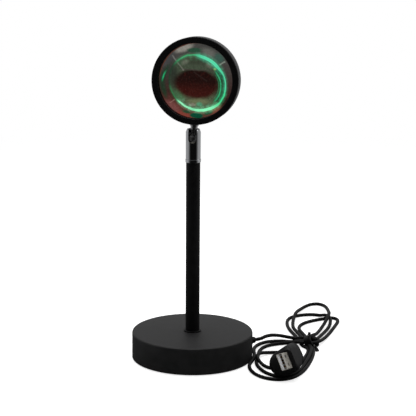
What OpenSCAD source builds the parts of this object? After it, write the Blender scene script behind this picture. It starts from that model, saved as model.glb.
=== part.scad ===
// Sunset projection lamp: round weighted base, slim pole, slotted ball joint and a drum-shaped
// projector head, with a USB cord tied in a hank beside the base.
// Millimetres. +Z is up, the head and the slot of the ball joint face -Y, and the origin is the
// centre of the base's underside.

/* [Base] */
// Outer diameter of the round base
base_d = 90; // [76:1:120]
// Height of the base's top above the table
base_h = 20.4; // [19:0.2:28]
// Thickness of the spun steel shell
shell_wall = 1.5; // [1:0.1:2]
// Rounding of the shell's top edge
top_edge_r = 1.3; // [0.6:0.1:2.4]
// Thickness of the foam pad under the base
pad_t = 1.6; // [1.2:0.1:2.4]
// Gap between the table and the shell's rim
rim_lift = 0.6; // [0.3:0.1:0.9]
// Thickness of the closing plate
plate_t = 1.4; // [1:0.1:2]
// Thickness of the cast iron weight
weight_t = 10; // [8:0.5:11]
// Number of plate screws
plate_screws = 3; // [3:1:6]
// Diameter of the plate screws
plate_screw_d = 3.8; // [3:0.1:5]

/* [Pole] */
// Outer diameter of the pole
pole_d = 10; // [9:0.5:13]
// Wall of the pole
pole_wall = 1; // [0.8:0.1:1.2]
// Length of the pole tube
pole_l = 127.6; // [90:1:180]
// Diameter of the thin collar at the pole's foot
foot_collar_d = 13; // [12:0.5:18]
// Thickness of that collar
foot_collar_t = 1; // [0.8:0.1:2]
// Length of threaded nipple that reaches into the pole
nipple_grip = 12; // [8:1:20]

/* [Ball joint] */
// Outer diameter of the socket tube
socket_d = 10.9; // [10.6:0.1:13]
// Length of the socket tube
socket_l = 22.2; // [21:0.2:26]
// Diameter of the closing collar under the socket
collar_d = 11.4; // [11.2:0.1:14]
// Visible height of the closing collar
collar_h = 2.3; // [1.5:0.1:4]
// Diameter of the ball
ball_d = 8.2; // [7.8:0.1:8.6]
// Height of the ball's centre above the bottom of the socket tube
ball_rise = 15.4; // [15:0.1:16]
// Diameter of the neck between the ball and the head
neck_d = 5.2; // [4.6:0.1:5.6]
// Width of the slot in the socket
slot_w = 6.15; // [5.9:0.05:6.4]
// Distance from the ball's centre to the head's surface
neck_l = 10.8; // [10.2:0.2:16]
// Backward tilt of the head as it stands
rest_tilt = 5; // [0:1:8]
// Sideways lean of the head as it stands
rest_lean = 3; // [0:0.5:3]

/* [Head] */
// Outer diameter of the drum
head_d = 63; // [60:1:76]
// Length of the full-width part of the drum, with its front ring
drum_l = 15; // [14:0.5:22]
// Radius of the rounded shoulder behind it
shoulder_r = 6; // [4:0.5:8]
// Length of the head from the front ring to the back
head_l = 46; // [44:1:60]
// Wall of the drum
drum_wall = 2.5; // [2:0.1:3]
// Width of the front ring's face
ring_w = 4.5; // [4:0.1:6]
// Thickness of the front ring
ring_t = 4; // [3:0.2:4.6]
// Distance from the front of the head to the neck's axis
neck_back = 13.5; // [13.4:0.1:16]
// Height of the lens dome
dome_h = 4.2; // [3:0.1:4.4]
// Edge thickness of the lens
lens_edge_t = 2.2; // [1.8:0.1:2.4]
// Thickness of the colour filter
filter_t = 1.2; // [1:0.1:1.4]
// Diameter of the light shroud's front rim
shroud_d = 42; // [36:1:44]
// Number of cooling fins at the back
fins = 4; // [3:1:5]
// Thickness of a cooling fin
fin_t = 1.6; // [1.2:0.1:2]

/* [Cord and plug] */
// Diameter of the cord
cord_d = 2.4; // [2:0.1:2.6]
// Angle of the cord's exit, from +X towards +Y
exit_angle = 19; // [10:1:30]
// Height of the cord's exit
exit_z = 10.5; // [9.5:0.5:12]
// Diameter of the grommet's flange
grommet_d = 8.4; // [7.6:0.2:10]
// Width of the plug's metal shell
usb_w = 12; // [12:0.1:12.2]
// Thickness of the plug's metal shell
usb_h = 4.5; // [4.4:0.1:4.6]
// Free length of the plug's metal shell
usb_l = 12; // [11.5:0.1:12.5]
// Length of the plug's moulded grip
grip_l = 27; // [22:1:30]
// Largest width of the plug's grip
grip_w = 24; // [20:1:25]

/* [Hidden] */
$fn = 72;
fit = 0.05;           // radial play of a shaft in its hole
seat = 0.2;           // radial play of a part that drops into a bore

// Base, from the table up
base_r = base_d / 2;
shell_in_r = base_r - shell_wall;
plate_r = shell_in_r - seat;
pad_r = plate_r - 0.8;
plate_z = pad_t;
post_z = plate_z + plate_t;
shell_ceiling_z = base_h - shell_wall;
weight_z = shell_ceiling_z - weight_t;
weight_r = shell_in_r - 0.8;
post_r = plate_screw_d / 2 + 2.2;
post_pitch_r = weight_r - post_r - 3;
post_first_angle = 70;
plate_screw_l = plate_t + 4;
nut_flat = pole_d + 2;
nut_t = 3.4;
washer_t = 0.7;
washer_r = nut_flat / 2 + 1.6;
nut_pocket_r = washer_r + 0.8;
nut_pocket_h = weight_t / 2;
nut_pocket_z = weight_z + nut_pocket_h;
groove_w = cord_d + 2;

// Pole
pole_r = pole_d / 2;
pole_bore_r = pole_r - pole_wall;
nipple_r = pole_bore_r - fit;
nipple_bore_r = nipple_r - 1.4;
pole_z = base_h + foot_collar_t;
pole_top_z = pole_z + pole_l;
nipple_z = weight_z - 0.4;
nipple_l = pole_z + nipple_grip - nipple_z;

// Ball joint
socket_z = pole_top_z + collar_h;
socket_r = socket_d / 2;
ball_r = ball_d / 2;
neck_r = neck_d / 2;
ball_z = socket_z + ball_rise;
socket_bore_r = ball_r + 0.1;
lip_rise = 2.1;                                      // where the lip closes over the ball
lip_r = sqrt(pow(ball_r + fit, 2) - lip_rise * lip_rise);
socket_top_r = socket_r - 0.55;
mouth_r = socket_top_r - 0.6;
plug_in_l = 3.7;                                     // collar's length inside the socket
spigot_l = 7;                                        // collar's length inside the pole
joint_bore_r = 2.2;
spring_wire = 0.8;
spring_turns = 4;
spring_z = socket_z + plug_in_l;
seat_h = 3.2;
seat_top_rise = -2.6;                                // top of the cup under the ball's centre
spring_l = ball_z + seat_top_rise - seat_h - spring_z;

// Head, measured from the front face backwards
head_r = head_d / 2;
head_arm = neck_l + head_r;
drum_bore_r = head_r - drum_wall;
spigot_r = drum_bore_r + 0.9;
spigot_t = 4;
window_r = head_r - ring_w;
gasket_t = 0.6;
lens_front = ring_t + gasket_t;
lens_back = lens_front + lens_edge_t;
lens_r = drum_bore_r - 0.5;
dome_r = window_r - 0.2;
dome_sphere_r = (dome_r * dome_r + dome_h * dome_h) / (2 * dome_h);
thin_ring_t = 0.6;
filter_front = lens_back + thin_ring_t;
filter_back = filter_front + filter_t;
step_back = drum_l + 2;                              // inner step that stops the split ring
rear_r = head_r - shoulder_r;
rear_bore_r = rear_r - drum_wall;
sink_l = 13;                                         // from its first fin to the back
sink_front = head_l - sink_l;
sink_spigot_t = 3;
board_back = sink_front - sink_spigot_t;
board_t = 1.6;
board_front = board_back - board_t;
board_gap = 6;
board_r = rear_bore_r - board_gap;
shroud_front = filter_back + 0.5;
shroud_wall = 0.8;
shroud_rear_r = 11.2;
condenser_r = 8.6;
condenser_reach = 8.8;                               // from its face to the board
condenser_front = board_front - condenser_reach;
condenser_root_r = 5.2;
condenser_land = 1.5;
holder_wall = 1.4;
holder_fit = 0.1;
holder_bore_r = 5;
led_w = 4;
led_t = 0.6;
led_dome_r = 1.6;
led_dome_h = 0.7;
fin_depth = 6.5;
sink_core_r = rear_r - fin_depth;
sink_screw_d = 2.5;
sink_screw_r = rear_bore_r - 2;
sink_screw_angles = [30, 150, 270];
sink_screw_l = head_l - 2 - board_back + 5;
neck_nut_flat = neck_d + 2.9;
neck_nut_t = 2.6;
neck_washer_t = 0.6;
neck_nut_r = neck_nut_flat / 2 / cos(30);
wall_top = neck_l + drum_wall - 0.1;                 // flat inside the drum, from the ball's centre
wire_d = 1.2;

// Grommet and plug
cord_r = cord_d / 2;
grommet_flange_t = 1.1;
grommet_nose_l = 2.2;
grommet_neck_r = grommet_d / 2 - 1;
exit_r = base_r + grommet_flange_t + grommet_nose_l;
exit_dir = [cos(exit_angle), sin(exit_angle), 0];
inner_lead_stops = [36, 29, 22, 15, 9, 5, 1.8];      // distances from the pole's axis
exit_point = [exit_r * exit_dir[0], exit_r * exit_dir[1], exit_z];
plug_at = [73.8, -57, 19];
plug_yaw = -6;
plug_rise = 16.5;
plug_roll = 64;
usb_wall = 0.3;
usb_set_in = 2;
grip_side = 5.6;                                      // flat side of the grip, from the shell's middle
grip_cap_l = 4;
tail_l = 6;
tail_r = cord_r + 1;

plug_l = usb_l + grip_l + tail_l;
plug_end = plug_at + plug_l * [
    -cos(plug_rise) * sin(plug_yaw), cos(plug_rise) * cos(plug_yaw), -sin(plug_rise)
];

// The hank's waist, where the tie holds all strands together
waist = [85, 36.5, 4.8];
waist_r = 3.8;
waist_l = 14;
tie_w = 3;
tie_t = 0.85;
strand_h = cord_d + 0.1;
band_w = 8.5;
near_top = [68.4, 22];
near_low = [68.4, -27];
near_r = 21.9;
far_mid = [82.5, 100];
far_mid_r = 20.5;
far_end = [82, 142.5];
far_end_r = 15.5;
far_root = [84.5, 45];
far_root_r = 7;
far_root_open = [-1, 14];                            // from there to where the loop's opening starts

// Cord from the grommet to the waist, and from the waist to the plug
lead_route = [
    exit_point,
    exit_point + 4 * exit_dir,
    [52.9, 20.9, 11.6], [56, 25.8, 11.6], [59.4, 31.2, 10.3], [62.8, 36.1, 8.4],
    [66.1, 40, 6.7], [69.9, 41.6, 5.6], [74, 40.4, 5.2], [77, 38.4, 5], [79.5, 37.2, 4.9]
];
tail_route = [
    plug_end, [78.2, -9.5, 5.9], [77.2, -4, 5.2], [74.5, 3, 4.4], [70.5, 8.6, 3.4],
    [66, 12.6, 2.5], [61.3, 14.8, 1.7], [56.6, 14.3, 1.3], [53.5, 12.5, 1.3]
];

// ---- Shared helpers ----

function unit(v) = v / norm(v);

function along(p, i) = unit(p[min(i + 1, len(p) - 1)] - p[max(i - 1, 0)]);

function ring_at(c, t, side, r, n) =
    let (u = unit(cross(side, t)), w = cross(t, u))
    [for (k = [0:n - 1]) c + r * (cos(360 * k / n) * u + sin(360 * k / n) * w)];

// A round bar swept along the points p; side is a direction that p never runs along
module swept(p, r, side = [0, 0, 1], n = 8) {
    last = len(p) - 1;
    polyhedron(
        points = [for (i = [0:last]) each ring_at(p[i], along(p, i), side, r, n)],
        faces = concat(
            [[for (k = [0:n - 1]) k]],
            [for (i = [0:last - 1], k = [0:n - 1])
                [i * n + k, (i + 1) * n + k, i * n + (k + 1) % n]],
            [for (i = [0:last - 1], k = [0:n - 1])
                [i * n + (k + 1) % n, (i + 1) * n + k, (i + 1) * n + (k + 1) % n]],
            [[for (k = [n - 1:-1:0]) last * n + k]]
        )
    );
}

module tube_z(r_out, r_in, h) {
    difference() {
        cylinder(r = r_out, h = h);
        translate([0, 0, -1]) cylinder(r = r_in, h = h + 2);
    }
}

module hexagon(flat, h) {
    cylinder(r = flat / 2 / cos(30), h = h, $fn = 6);
}

// Two discs and the straight band between them
module egg(a, ra, b, rb) {
    hull() {
        translate(a) circle(r = ra, $fn = 40);
        translate(b) circle(r = rb, $fn = 40);
    }
}

// Places that other pieces are built in

module at_exit() {
    translate([0, 0, exit_z]) rotate([0, 0, exit_angle]) rotate([0, 90, 0]) children();
}

module on_ball() {
    translate([0, 0, ball_z]) rotate([-rest_tilt, rest_lean, 0]) children();
}

// Head parts: local Z runs from the front face backwards
module in_head(back = 0) {
    on_ball() translate([0, back - neck_back, head_arm]) rotate([-90, 0, 0]) children();
}

// Plug parts: local Y runs from the mouth backwards, local X is the wide way
module in_plug() {
    translate(plug_at) rotate([0, 0, plug_yaw]) rotate([-plug_rise, 0, 0])
        rotate([0, plug_roll, 0]) children();
}

// ---- Base ----

module base_shell() {
    e = top_edge_r;
    inner_e = max(e - shell_wall, 0.3);
    color([0.05, 0.05, 0.055]) difference() {
        union() {
            translate([0, 0, rim_lift]) cylinder(r = base_r, h = base_h - rim_lift - e);
            translate([0, 0, base_h - e - 0.5]) cylinder(r = base_r - e, h = e + 0.5);
            translate([0, 0, base_h - e]) rotate_extrude() translate([base_r - e, 0])
                intersection() { circle(r = e); square(e); }
        }
        translate([0, 0, rim_lift - 1])
            cylinder(r = shell_in_r, h = shell_ceiling_z - rim_lift + 1 - inner_e);
        translate([0, 0, rim_lift]) cylinder(r = shell_in_r - inner_e, h = shell_ceiling_z - rim_lift);
        translate([0, 0, shell_ceiling_z - 1]) cylinder(r = nipple_r + 0.15, h = shell_wall + 2);
        at_exit() translate([0, 0, base_r - shell_wall - 3])
            cylinder(r = grommet_neck_r + fit, h = shell_wall + 6);
    }
}

module base_weight() {
    color([0.3, 0.3, 0.31]) difference() {
        union() {
            translate([0, 0, weight_z]) cylinder(r = weight_r, h = weight_t);
            for (i = [0:plate_screws - 1])
                rotate(post_first_angle + i * 360 / plate_screws)
                    translate([post_pitch_r, 0, post_z]) cylinder(r = post_r, h = weight_z - post_z + 1);
        }
        translate([0, 0, weight_z - 1]) cylinder(r = nipple_r + 0.2, h = weight_t + 2);
        translate([0, 0, weight_z - 1]) cylinder(r = nut_pocket_r, h = nut_pocket_h + 1);
        for (i = [0:plate_screws - 1])
            rotate(post_first_angle + i * 360 / plate_screws)
                translate([post_pitch_r, 0, post_z - 1])
                    cylinder(r = plate_screw_d / 2 + fit, h = plate_screw_l - plate_t + 1.5);
        // Groove for the cord, from the rim to the nut's pocket, and room for the grommet
        rotate(exit_angle) translate([0, -groove_w / 2, weight_z - 1])
            cube([base_r, groove_w, exit_z + groove_w / 2 - weight_z + 1]);
        at_exit() translate([0, 0, weight_r - 5]) cylinder(r = grommet_d / 2 + 0.8, h = 10);
    }
}

module base_plate() {
    color([0.45, 0.46, 0.47]) difference() {
        translate([0, 0, plate_z]) cylinder(r = plate_r, h = plate_t);
        for (i = [0:plate_screws - 1])
            rotate(post_first_angle + i * 360 / plate_screws) translate([post_pitch_r, 0, plate_z]) {
                translate([0, 0, -1]) cylinder(r = plate_screw_d / 2 + 0.15, h = plate_t + 2);
                plate_screw_head(0.1);
            }
    }
}

module plate_screw_head(play) {
    r = plate_screw_d / 2;
    translate([0, 0, -0.01])
        cylinder(r1 = r + plate_t - 0.1 + play, r2 = r + play, h = plate_t - 0.1 + 0.01);
}

module plate_screws_set() {
    color([0.7, 0.7, 0.72])
        for (i = [0:plate_screws - 1])
            rotate(post_first_angle + i * 360 / plate_screws) translate([post_pitch_r, 0, plate_z]) {
                difference() {
                    union() {
                        translate([0, 0, 0.01]) plate_screw_head(0);
                        cylinder(r = plate_screw_d / 2, h = plate_screw_l);
                    }
                    for (a = [0, 90])
                        rotate(a) translate([-plate_screw_d / 2, -0.3, -0.01])
                            cube([plate_screw_d, 0.6, 0.7]);
                }
            }
}

module foot_pad() {
    color([0.1, 0.1, 0.1]) cylinder(r = pad_r, h = pad_t);
}

// ---- Pole ----

module pole_nipple() {
    color([0.75, 0.7, 0.5]) translate([0, 0, nipple_z]) tube_z(nipple_r, nipple_bore_r, nipple_l);
}

module pole_washer() {
    color([0.7, 0.7, 0.72]) translate([0, 0, nut_pocket_z - washer_t])
        tube_z(washer_r, nipple_r + fit, washer_t);
}

module pole_nut() {
    color([0.7, 0.7, 0.72]) translate([0, 0, nut_pocket_z - washer_t - nut_t]) difference() {
        hexagon(nut_flat, nut_t);
        translate([0, 0, -1]) cylinder(r = nipple_r + fit, h = nut_t + 2);
    }
}

module foot_collar() {
    chamfer = 0.4;
    color([0.06, 0.06, 0.065]) translate([0, 0, base_h]) difference() {
        union() {
            cylinder(r = foot_collar_d / 2, h = foot_collar_t - chamfer);
            translate([0, 0, foot_collar_t - chamfer])
                cylinder(r1 = foot_collar_d / 2, r2 = foot_collar_d / 2 - chamfer, h = chamfer);
        }
        translate([0, 0, -1]) cylinder(r = nipple_r + fit, h = foot_collar_t + 2);
    }
}

module pole() {
    color([0.05, 0.05, 0.055]) translate([0, 0, pole_z]) tube_z(pole_r, pole_bore_r, pole_l);
}

// ---- Cord parts in the base ----

module cord_grommet() {
    flange_r = grommet_d / 2;
    inner_face = sqrt(shell_in_r * shell_in_r - flange_r * flange_r) - fit;
    color([0.06, 0.06, 0.06]) at_exit() difference() {
        union() {
            translate([0, 0, base_r + 0.02])
                cylinder(r1 = flange_r, r2 = flange_r - 0.5, h = grommet_flange_t);
            translate([0, 0, base_r + grommet_flange_t])
                cylinder(r1 = cord_r + 1.5, r2 = cord_r + 0.9, h = grommet_nose_l);
            translate([0, 0, inner_face - 0.5])
                cylinder(r = grommet_neck_r, h = base_r - inner_face + 1);
            translate([0, 0, inner_face - 1.4]) cylinder(r = flange_r, h = 1.4);
        }
        translate([0, 0, inner_face - 3]) cylinder(r = cord_r + fit, h = 12);
    }
}

// A crimped collar that keeps the cord from being pulled out
module cord_stop() {
    color([0.6, 0.6, 0.62]) at_exit() translate([0, 0, base_r - 10]) tube_z(cord_r + 0.9, cord_r + fit, 4);
}

// Point k of the lead inside the base, at height z
function lead_stop(k, z) = [inner_lead_stops[k] * exit_dir[0], inner_lead_stops[k] * exit_dir[1], z];

module inner_lead() {
    side = [-exit_dir[1], exit_dir[0], 0];
    low_z = post_z + cord_r + 0.7;
    color([0.08, 0.08, 0.08]) swept([
        exit_point,
        [for (k = [0:1]) (exit_r - 6) * exit_dir[k], exit_z],
        for (k = [0:1]) lead_stop(k, exit_z),
        lead_stop(2, exit_z - 1),
        lead_stop(3, (exit_z + low_z) / 2 - 0.6),
        lead_stop(4, low_z + 0.4),
        lead_stop(5, low_z),
        lead_stop(6, low_z + 1.2),
        [0, 0, low_z + 4.5],
        for (k = [1:20]) [0, 0, low_z + 4.5 + k * (spring_z - low_z - 4.5) / 20]
    ], cord_r, side);
}

// ---- Ball joint ----

module socket_collar() {
    color([0.55, 0.56, 0.58]) difference() {
        union() {
            translate([0, 0, pole_top_z]) cylinder(r = collar_d / 2, h = collar_h);
            translate([0, 0, pole_top_z - spigot_l]) cylinder(r = nipple_r, h = spigot_l + 0.5);
            translate([0, 0, socket_z - 0.5]) cylinder(r = socket_bore_r - fit, h = plug_in_l + 0.5);
        }
        translate([0, 0, pole_top_z - spigot_l - 1])
            cylinder(r = joint_bore_r, h = spigot_l + collar_h + plug_in_l + 2);
    }
}

module joint_spring() {
    mean_r = socket_bore_r - 0.15 - spring_wire / 2;
    rise = spring_l - spring_wire - 0.1;
    steps = spring_turns * 12;
    color([0.75, 0.76, 0.78]) swept([
        for (i = [0:steps])
            [mean_r * cos(360 * i / 12), mean_r * sin(360 * i / 12),
             spring_z + spring_wire / 2 + 0.05 + rise * i / steps]
    ], spring_wire / 2);
}

module ball_cup() {
    top = ball_z + seat_top_rise;
    color([0.85, 0.83, 0.75]) difference() {
        translate([0, 0, top - seat_h]) cylinder(r = socket_bore_r - fit, h = seat_h);
        translate([0, 0, ball_z]) sphere(r = ball_r + fit);
        translate([0, 0, top - seat_h - 1]) cylinder(r = joint_bore_r, h = seat_h + 2);
    }
}

module socket_tube() {
    chamfer_h = 1.8;
    color([0.6, 0.61, 0.63]) difference() {
        union() {
            translate([0, 0, socket_z]) cylinder(r = socket_r, h = socket_l - chamfer_h);
            translate([0, 0, socket_z + socket_l - chamfer_h])
                cylinder(r1 = socket_r, r2 = socket_top_r, h = chamfer_h);
        }
        translate([0, 0, socket_z - 1]) cylinder(r = socket_bore_r, h = ball_rise + 1);
        translate([0, 0, ball_z]) sphere(r = ball_r + fit);
        translate([0, 0, ball_z + lip_rise])
            cylinder(r1 = lip_r, r2 = mouth_r, h = socket_l - ball_rise - lip_rise + 0.01);
        // Slot that lets the neck swing forward, with a round bottom at the ball's centre
        translate([-slot_w / 2, -socket_d, ball_z]) cube([slot_w, socket_d, socket_l]);
        translate([0, 0, ball_z]) rotate([90, 0, 0]) cylinder(r = slot_w / 2, h = socket_d);
    }
}

module ball_stem() {
    color([0.55, 0.56, 0.58]) on_ball() difference() {
        union() {
            sphere(r = ball_r);
            cylinder(r = neck_r, h = neck_l + drum_wall + neck_washer_t + neck_nut_t + 0.6);
        }
        translate([0, 0, -ball_d]) cylinder(r = wire_d + 0.2, h = head_arm + ball_d);
    }
}

module neck_nut() {
    color([0.5, 0.51, 0.53]) on_ball() translate([0, 0, neck_l - 1.9]) difference() {
        cylinder(r1 = neck_r + 0.45, r2 = neck_r + 0.9, h = 1.8);
        translate([0, 0, -1]) cylinder(r = neck_r + fit, h = 4);
    }
}

module inner_washer() {
    color([0.7, 0.7, 0.72]) on_ball() translate([0, 0, wall_top])
        tube_z(neck_nut_r, neck_r + fit, neck_washer_t);
}

module inner_nut() {
    color([0.7, 0.7, 0.72]) on_ball() translate([0, 0, wall_top + neck_washer_t]) difference() {
        hexagon(neck_nut_flat, neck_nut_t);
        translate([0, 0, -1]) cylinder(r = neck_r + fit, h = neck_nut_t + 2);
    }
}

// ---- Head ----

module drum() {
    s = shoulder_r;
    color([0.05, 0.05, 0.055]) difference() {
        union() {
            in_head(ring_t) cylinder(r = head_r, h = drum_l - ring_t);
            in_head(drum_l) cylinder(r = rear_r, h = sink_front - drum_l);
            in_head(drum_l) rotate_extrude() translate([rear_r, 0])
                intersection() { circle(r = s); square(s); }
        }
        in_head(ring_t - 1) cylinder(r = spigot_r + fit, h = spigot_t + 1.2);
        in_head(ring_t) cylinder(r = drum_bore_r, h = step_back - ring_t);
        difference() {
            in_head(step_back - 0.01) cylinder(r = rear_bore_r, h = head_l);
            for (a = sink_screw_angles)
                in_head(board_back - 9) rotate(a) translate([sink_screw_r, 0, 0])
                    cylinder(r = sink_screw_d / 2 + 1.3, h = 9 - 0.2);
        }
        for (a = sink_screw_angles)
            in_head(board_back - 6) rotate(a) translate([sink_screw_r, 0, 0])
                cylinder(r = sink_screw_d / 2 + fit, h = 8);
        on_ball() cylinder(r = neck_r + fit, h = head_arm - rear_r);
        // Flat inside, where the washer bears, and room for the nut
        on_ball() translate([0, 0, wall_top]) cylinder(r = neck_nut_r + 0.4, h = 6);
    }
}

module front_ring() {
    e = 0.6;
    color([0.05, 0.05, 0.055]) in_head() difference() {
        union() {
            cylinder(r1 = head_r - e, r2 = head_r, h = e);
            translate([0, 0, e]) cylinder(r = head_r, h = ring_t - e);
            translate([0, 0, ring_t - 0.5]) cylinder(r = spigot_r, h = spigot_t + 0.5);
        }
        translate([0, 0, -1]) cylinder(r = window_r, h = ring_t + 2);
        translate([0, 0, -0.01]) cylinder(r1 = window_r + 0.4, r2 = window_r, h = 0.4);
        translate([0, 0, ring_t]) cylinder(r = lens_r + seat, h = spigot_t + 1);
    }
}

module lens_gasket() {
    color([0.1, 0.1, 0.1]) in_head(ring_t) tube_z(lens_r, window_r + 0.2, gasket_t);
}

module lens() {
    color([0.7, 0.85, 0.85, 0.5]) in_head() {
        translate([0, 0, lens_front]) cylinder(r = lens_r, h = lens_edge_t);
        rotate_extrude() intersection() {
            translate([0, lens_front - dome_h + dome_sphere_r]) circle(r = dome_sphere_r, $fn = 360);
            translate([0, lens_front - dome_h - 1]) square([dome_r, dome_h + 1.5]);
        }
    }
}

module thin_ring() {
    color([0.2, 0.2, 0.2]) in_head(lens_back) tube_z(lens_r, window_r, thin_ring_t);
}

module filter_disc() {
    color([0.5, 0.2, 0.15, 0.6]) in_head(filter_front) cylinder(r = lens_r, h = filter_t);
}

// Spring-steel ring with a gap at the bottom, where the neck's nut sits
module split_ring() {
    color([0.6, 0.6, 0.62]) difference() {
        in_head(filter_back) tube_z(drum_bore_r - seat, window_r, step_back - filter_back);
        on_ball() translate([0, 0, neck_l]) cylinder(r = neck_nut_r + 1, h = head_r);
    }
}

module light_shroud() {
    front_r = shroud_d / 2;
    cone_l = board_front - 1 - shroud_front;
    color([0.15, 0.15, 0.16]) in_head(shroud_front) difference() {
        union() {
            cylinder(r1 = front_r, r2 = shroud_rear_r, h = cone_l);
            translate([0, 0, cone_l - 0.01]) cylinder(r = shroud_rear_r + 0.8, h = 1.01);
        }
        translate([0, 0, -0.01])
            cylinder(r1 = front_r - shroud_wall, r2 = shroud_rear_r - shroud_wall, h = cone_l + 0.02);
        cylinder(r = shroud_rear_r - shroud_wall, h = cone_l + 2);
    }
}

module condenser_holder() {
    h = board_front - condenser_front + 0.4;
    color([0.12, 0.12, 0.12]) in_head(board_front - h) difference() {
        cylinder(r = condenser_r + holder_wall, h = h);
        translate([0, 0, -1]) cylinder(r = condenser_r + holder_fit, h = h - 1);
        translate([0, 0, -1]) cylinder(r = holder_bore_r, h = h + 2);
    }
}

module condenser() {
    l = board_front - 2 - condenser_front - 0.05;
    color([0.9, 0.9, 0.85, 0.6]) in_head(condenser_front) difference() {
        union() {
            cylinder(r = condenser_r, h = condenser_land);
            translate([0, 0, condenser_land])
                cylinder(r1 = condenser_r, r2 = condenser_root_r, h = l - condenser_land);
        }
        translate([0, 0, l - 3]) cylinder(r = 3, h = 4);
    }
}

module led_board() {
    color([0.9, 0.9, 0.88]) in_head(board_front) difference() {
        cylinder(r = board_r, h = board_t);
        for (a = [0, 180]) rotate(a) translate([board_r - 2.5, 0, -1]) cylinder(r = 1.1, h = board_t + 2);
    }
}

module led_chip() {
    color([0.95, 0.85, 0.4]) in_head(board_front) mirror([0, 0, 1]) {
        translate([-led_w / 2, -led_w / 2, 0]) cube([led_w, led_w, led_t]);
        translate([0, 0, led_t - 0.1]) cylinder(r = led_dome_r, h = led_dome_h);
    }
}

module board_screws() {
    color([0.7, 0.7, 0.72])
        for (a = [0, 180])
            in_head(board_front) rotate(a) translate([board_r - 2.5, 0, 0]) {
                mirror([0, 0, 1]) cylinder(r = 1.8, h = 1.2);
                translate([0, 0, -0.5]) cylinder(r = 1, h = board_t + 2.5);
            }
}

module heat_sink() {
    stack = head_l - sink_front;
    pitch = (stack - fin_t) / (fins - 1);
    color([0.08, 0.08, 0.085]) in_head() difference() {
        union() {
            translate([0, 0, board_back]) cylinder(r = rear_bore_r - fit, h = sink_spigot_t + 0.5);
            translate([0, 0, sink_front]) cylinder(r = sink_core_r, h = stack);
            for (i = [0:fins - 1])
                translate([0, 0, sink_front + i * pitch]) cylinder(r = rear_r, h = fin_t);
            for (a = sink_screw_angles)
                rotate(a) translate([sink_screw_r, 0, sink_front]) cylinder(r = 3.2, h = stack);
        }
        for (a = sink_screw_angles) rotate(a) translate([sink_screw_r, 0, 0]) {
            translate([0, 0, board_back - 1]) cylinder(r = sink_screw_d / 2 + 0.15, h = head_l);
            translate([0, 0, head_l - 2.2]) cylinder(r = sink_screw_d / 2 + 1.2, h = 3);
        }
        for (a = [0, 180])
            rotate(a) translate([board_r - 2.5, 0, board_back - 1]) cylinder(r = 1.05, h = 3.4);
    }
}

module sink_screws() {
    head_t = 1.8;
    color([0.2, 0.2, 0.2])
        for (a = sink_screw_angles)
            in_head(head_l - 2.2) rotate(a) translate([sink_screw_r, 0, 0]) difference() {
                union() {
                    cylinder(r = sink_screw_d / 2 + 1, h = head_t);
                    mirror([0, 0, 1]) cylinder(r = sink_screw_d / 2, h = sink_screw_l);
                }
                translate([0, 0, head_t - 1]) hexagon(1.6, 2);
            }
}

// Two insulated wires from the neck to the board, behind the light shroud
module head_wires() {
    top = wall_top + neck_washer_t + neck_nut_t + 0.6;
    board_y = board_front - neck_back;
    end_z = head_arm - board_r + 1.2;
    for (x = [-0.65, 0.65])
        color(x < 0 ? [0.5, 0.05, 0.05] : [0.08, 0.08, 0.08]) on_ball() swept([
            [x, 0, ball_r - 3], [x, 0, top / 2], [x, 0, top], [x, 0.3, top + 1.6],
            [1.6 * x, 2, top + 2.9], [2 * x, 5, top + 3.6], [2 * x, board_y - 6, end_z - 2.2],
            [2 * x, board_y - 2, end_z - 0.8], [2 * x, board_y - wire_d / 2 - 0.05, end_z + 0.6]
        ], wire_d / 2, [1, 0, 0]);
}

// ---- Cord outside ----

module cord_lead() {
    color([0.06, 0.06, 0.06]) swept(lead_route, cord_r);
}

module cord_tail() {
    color([0.06, 0.06, 0.06]) swept(tail_route, cord_r);
}

// A flat ring of strands on the table
module lobe(height) {
    linear_extrude(height = height) difference() {
        union() children([0:$children - 2]);
        children($children - 1);
    }
}

module cord_hank() {
    w = band_w;
    notch_w = tie_w + 1;
    notch_d = 2 * (waist_r + tie_t + fit + 0.4);
    color([0.06, 0.06, 0.06]) {
        difference() {
            union() {
                lobe(strand_h) {
                    egg(near_top, near_r, near_low, near_r);
                    egg(near_top, near_r - w, near_low, near_r - w);
                }
                lobe(strand_h) {
                    egg(far_mid, far_mid_r, far_end, far_end_r);
                    egg(far_mid, far_mid_r, far_root, far_root_r);
                    union() {
                        egg(far_mid, far_mid_r - w, far_end, far_end_r - w / 1.4);
                        egg(far_mid, far_mid_r - w, far_root + far_root_open, 2);
                    }
                }
            }
            // Room for the tie under the waist
            translate([waist[0] - notch_w / 2, waist[1] - notch_d / 2, -1])
                cube([notch_w, notch_d, strand_h + 2]);
        }
        translate([waist[0] - waist_l / 2, waist[1], waist[2]]) rotate([0, 90, 0])
            cylinder(r = waist_r, h = waist_l);
    }
}

module cord_tie() {
    r = waist_r + fit;
    end_l = 2.6;
    color([0.05, 0.05, 0.05]) translate(waist) {
        translate([-tie_w / 2, 0, 0]) rotate([0, 90, 0]) tube_z(r + tie_t, r, tie_w);
        translate([0, 1, r + tie_t - 0.6]) rotate([0, -20, 0]) cylinder(r = 0.9, h = end_l);
    }
}

// ---- Plug ----

// Section of the grip: round on the left, with one flat broad side on the right. The long way of
// the section is X, and its upper end is -X.
module grip_section(round_x, round_r, top_x, low_x) {
    corner = 2.5;
    translate([round_x, -3]) circle(r = round_r, $fn = 32);
    for (x = [top_x + corner, low_x - corner])
        translate([x, grip_side - corner]) circle(r = corner, $fn = 32);
}

module grip_slice(y, t, round_x, round_r, top_x, low_x) {
    translate([0, y + t, 0]) rotate([90, 0, 0]) linear_extrude(height = t) hull()
        grip_section(round_x, round_r, top_x, low_x);
}

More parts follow.
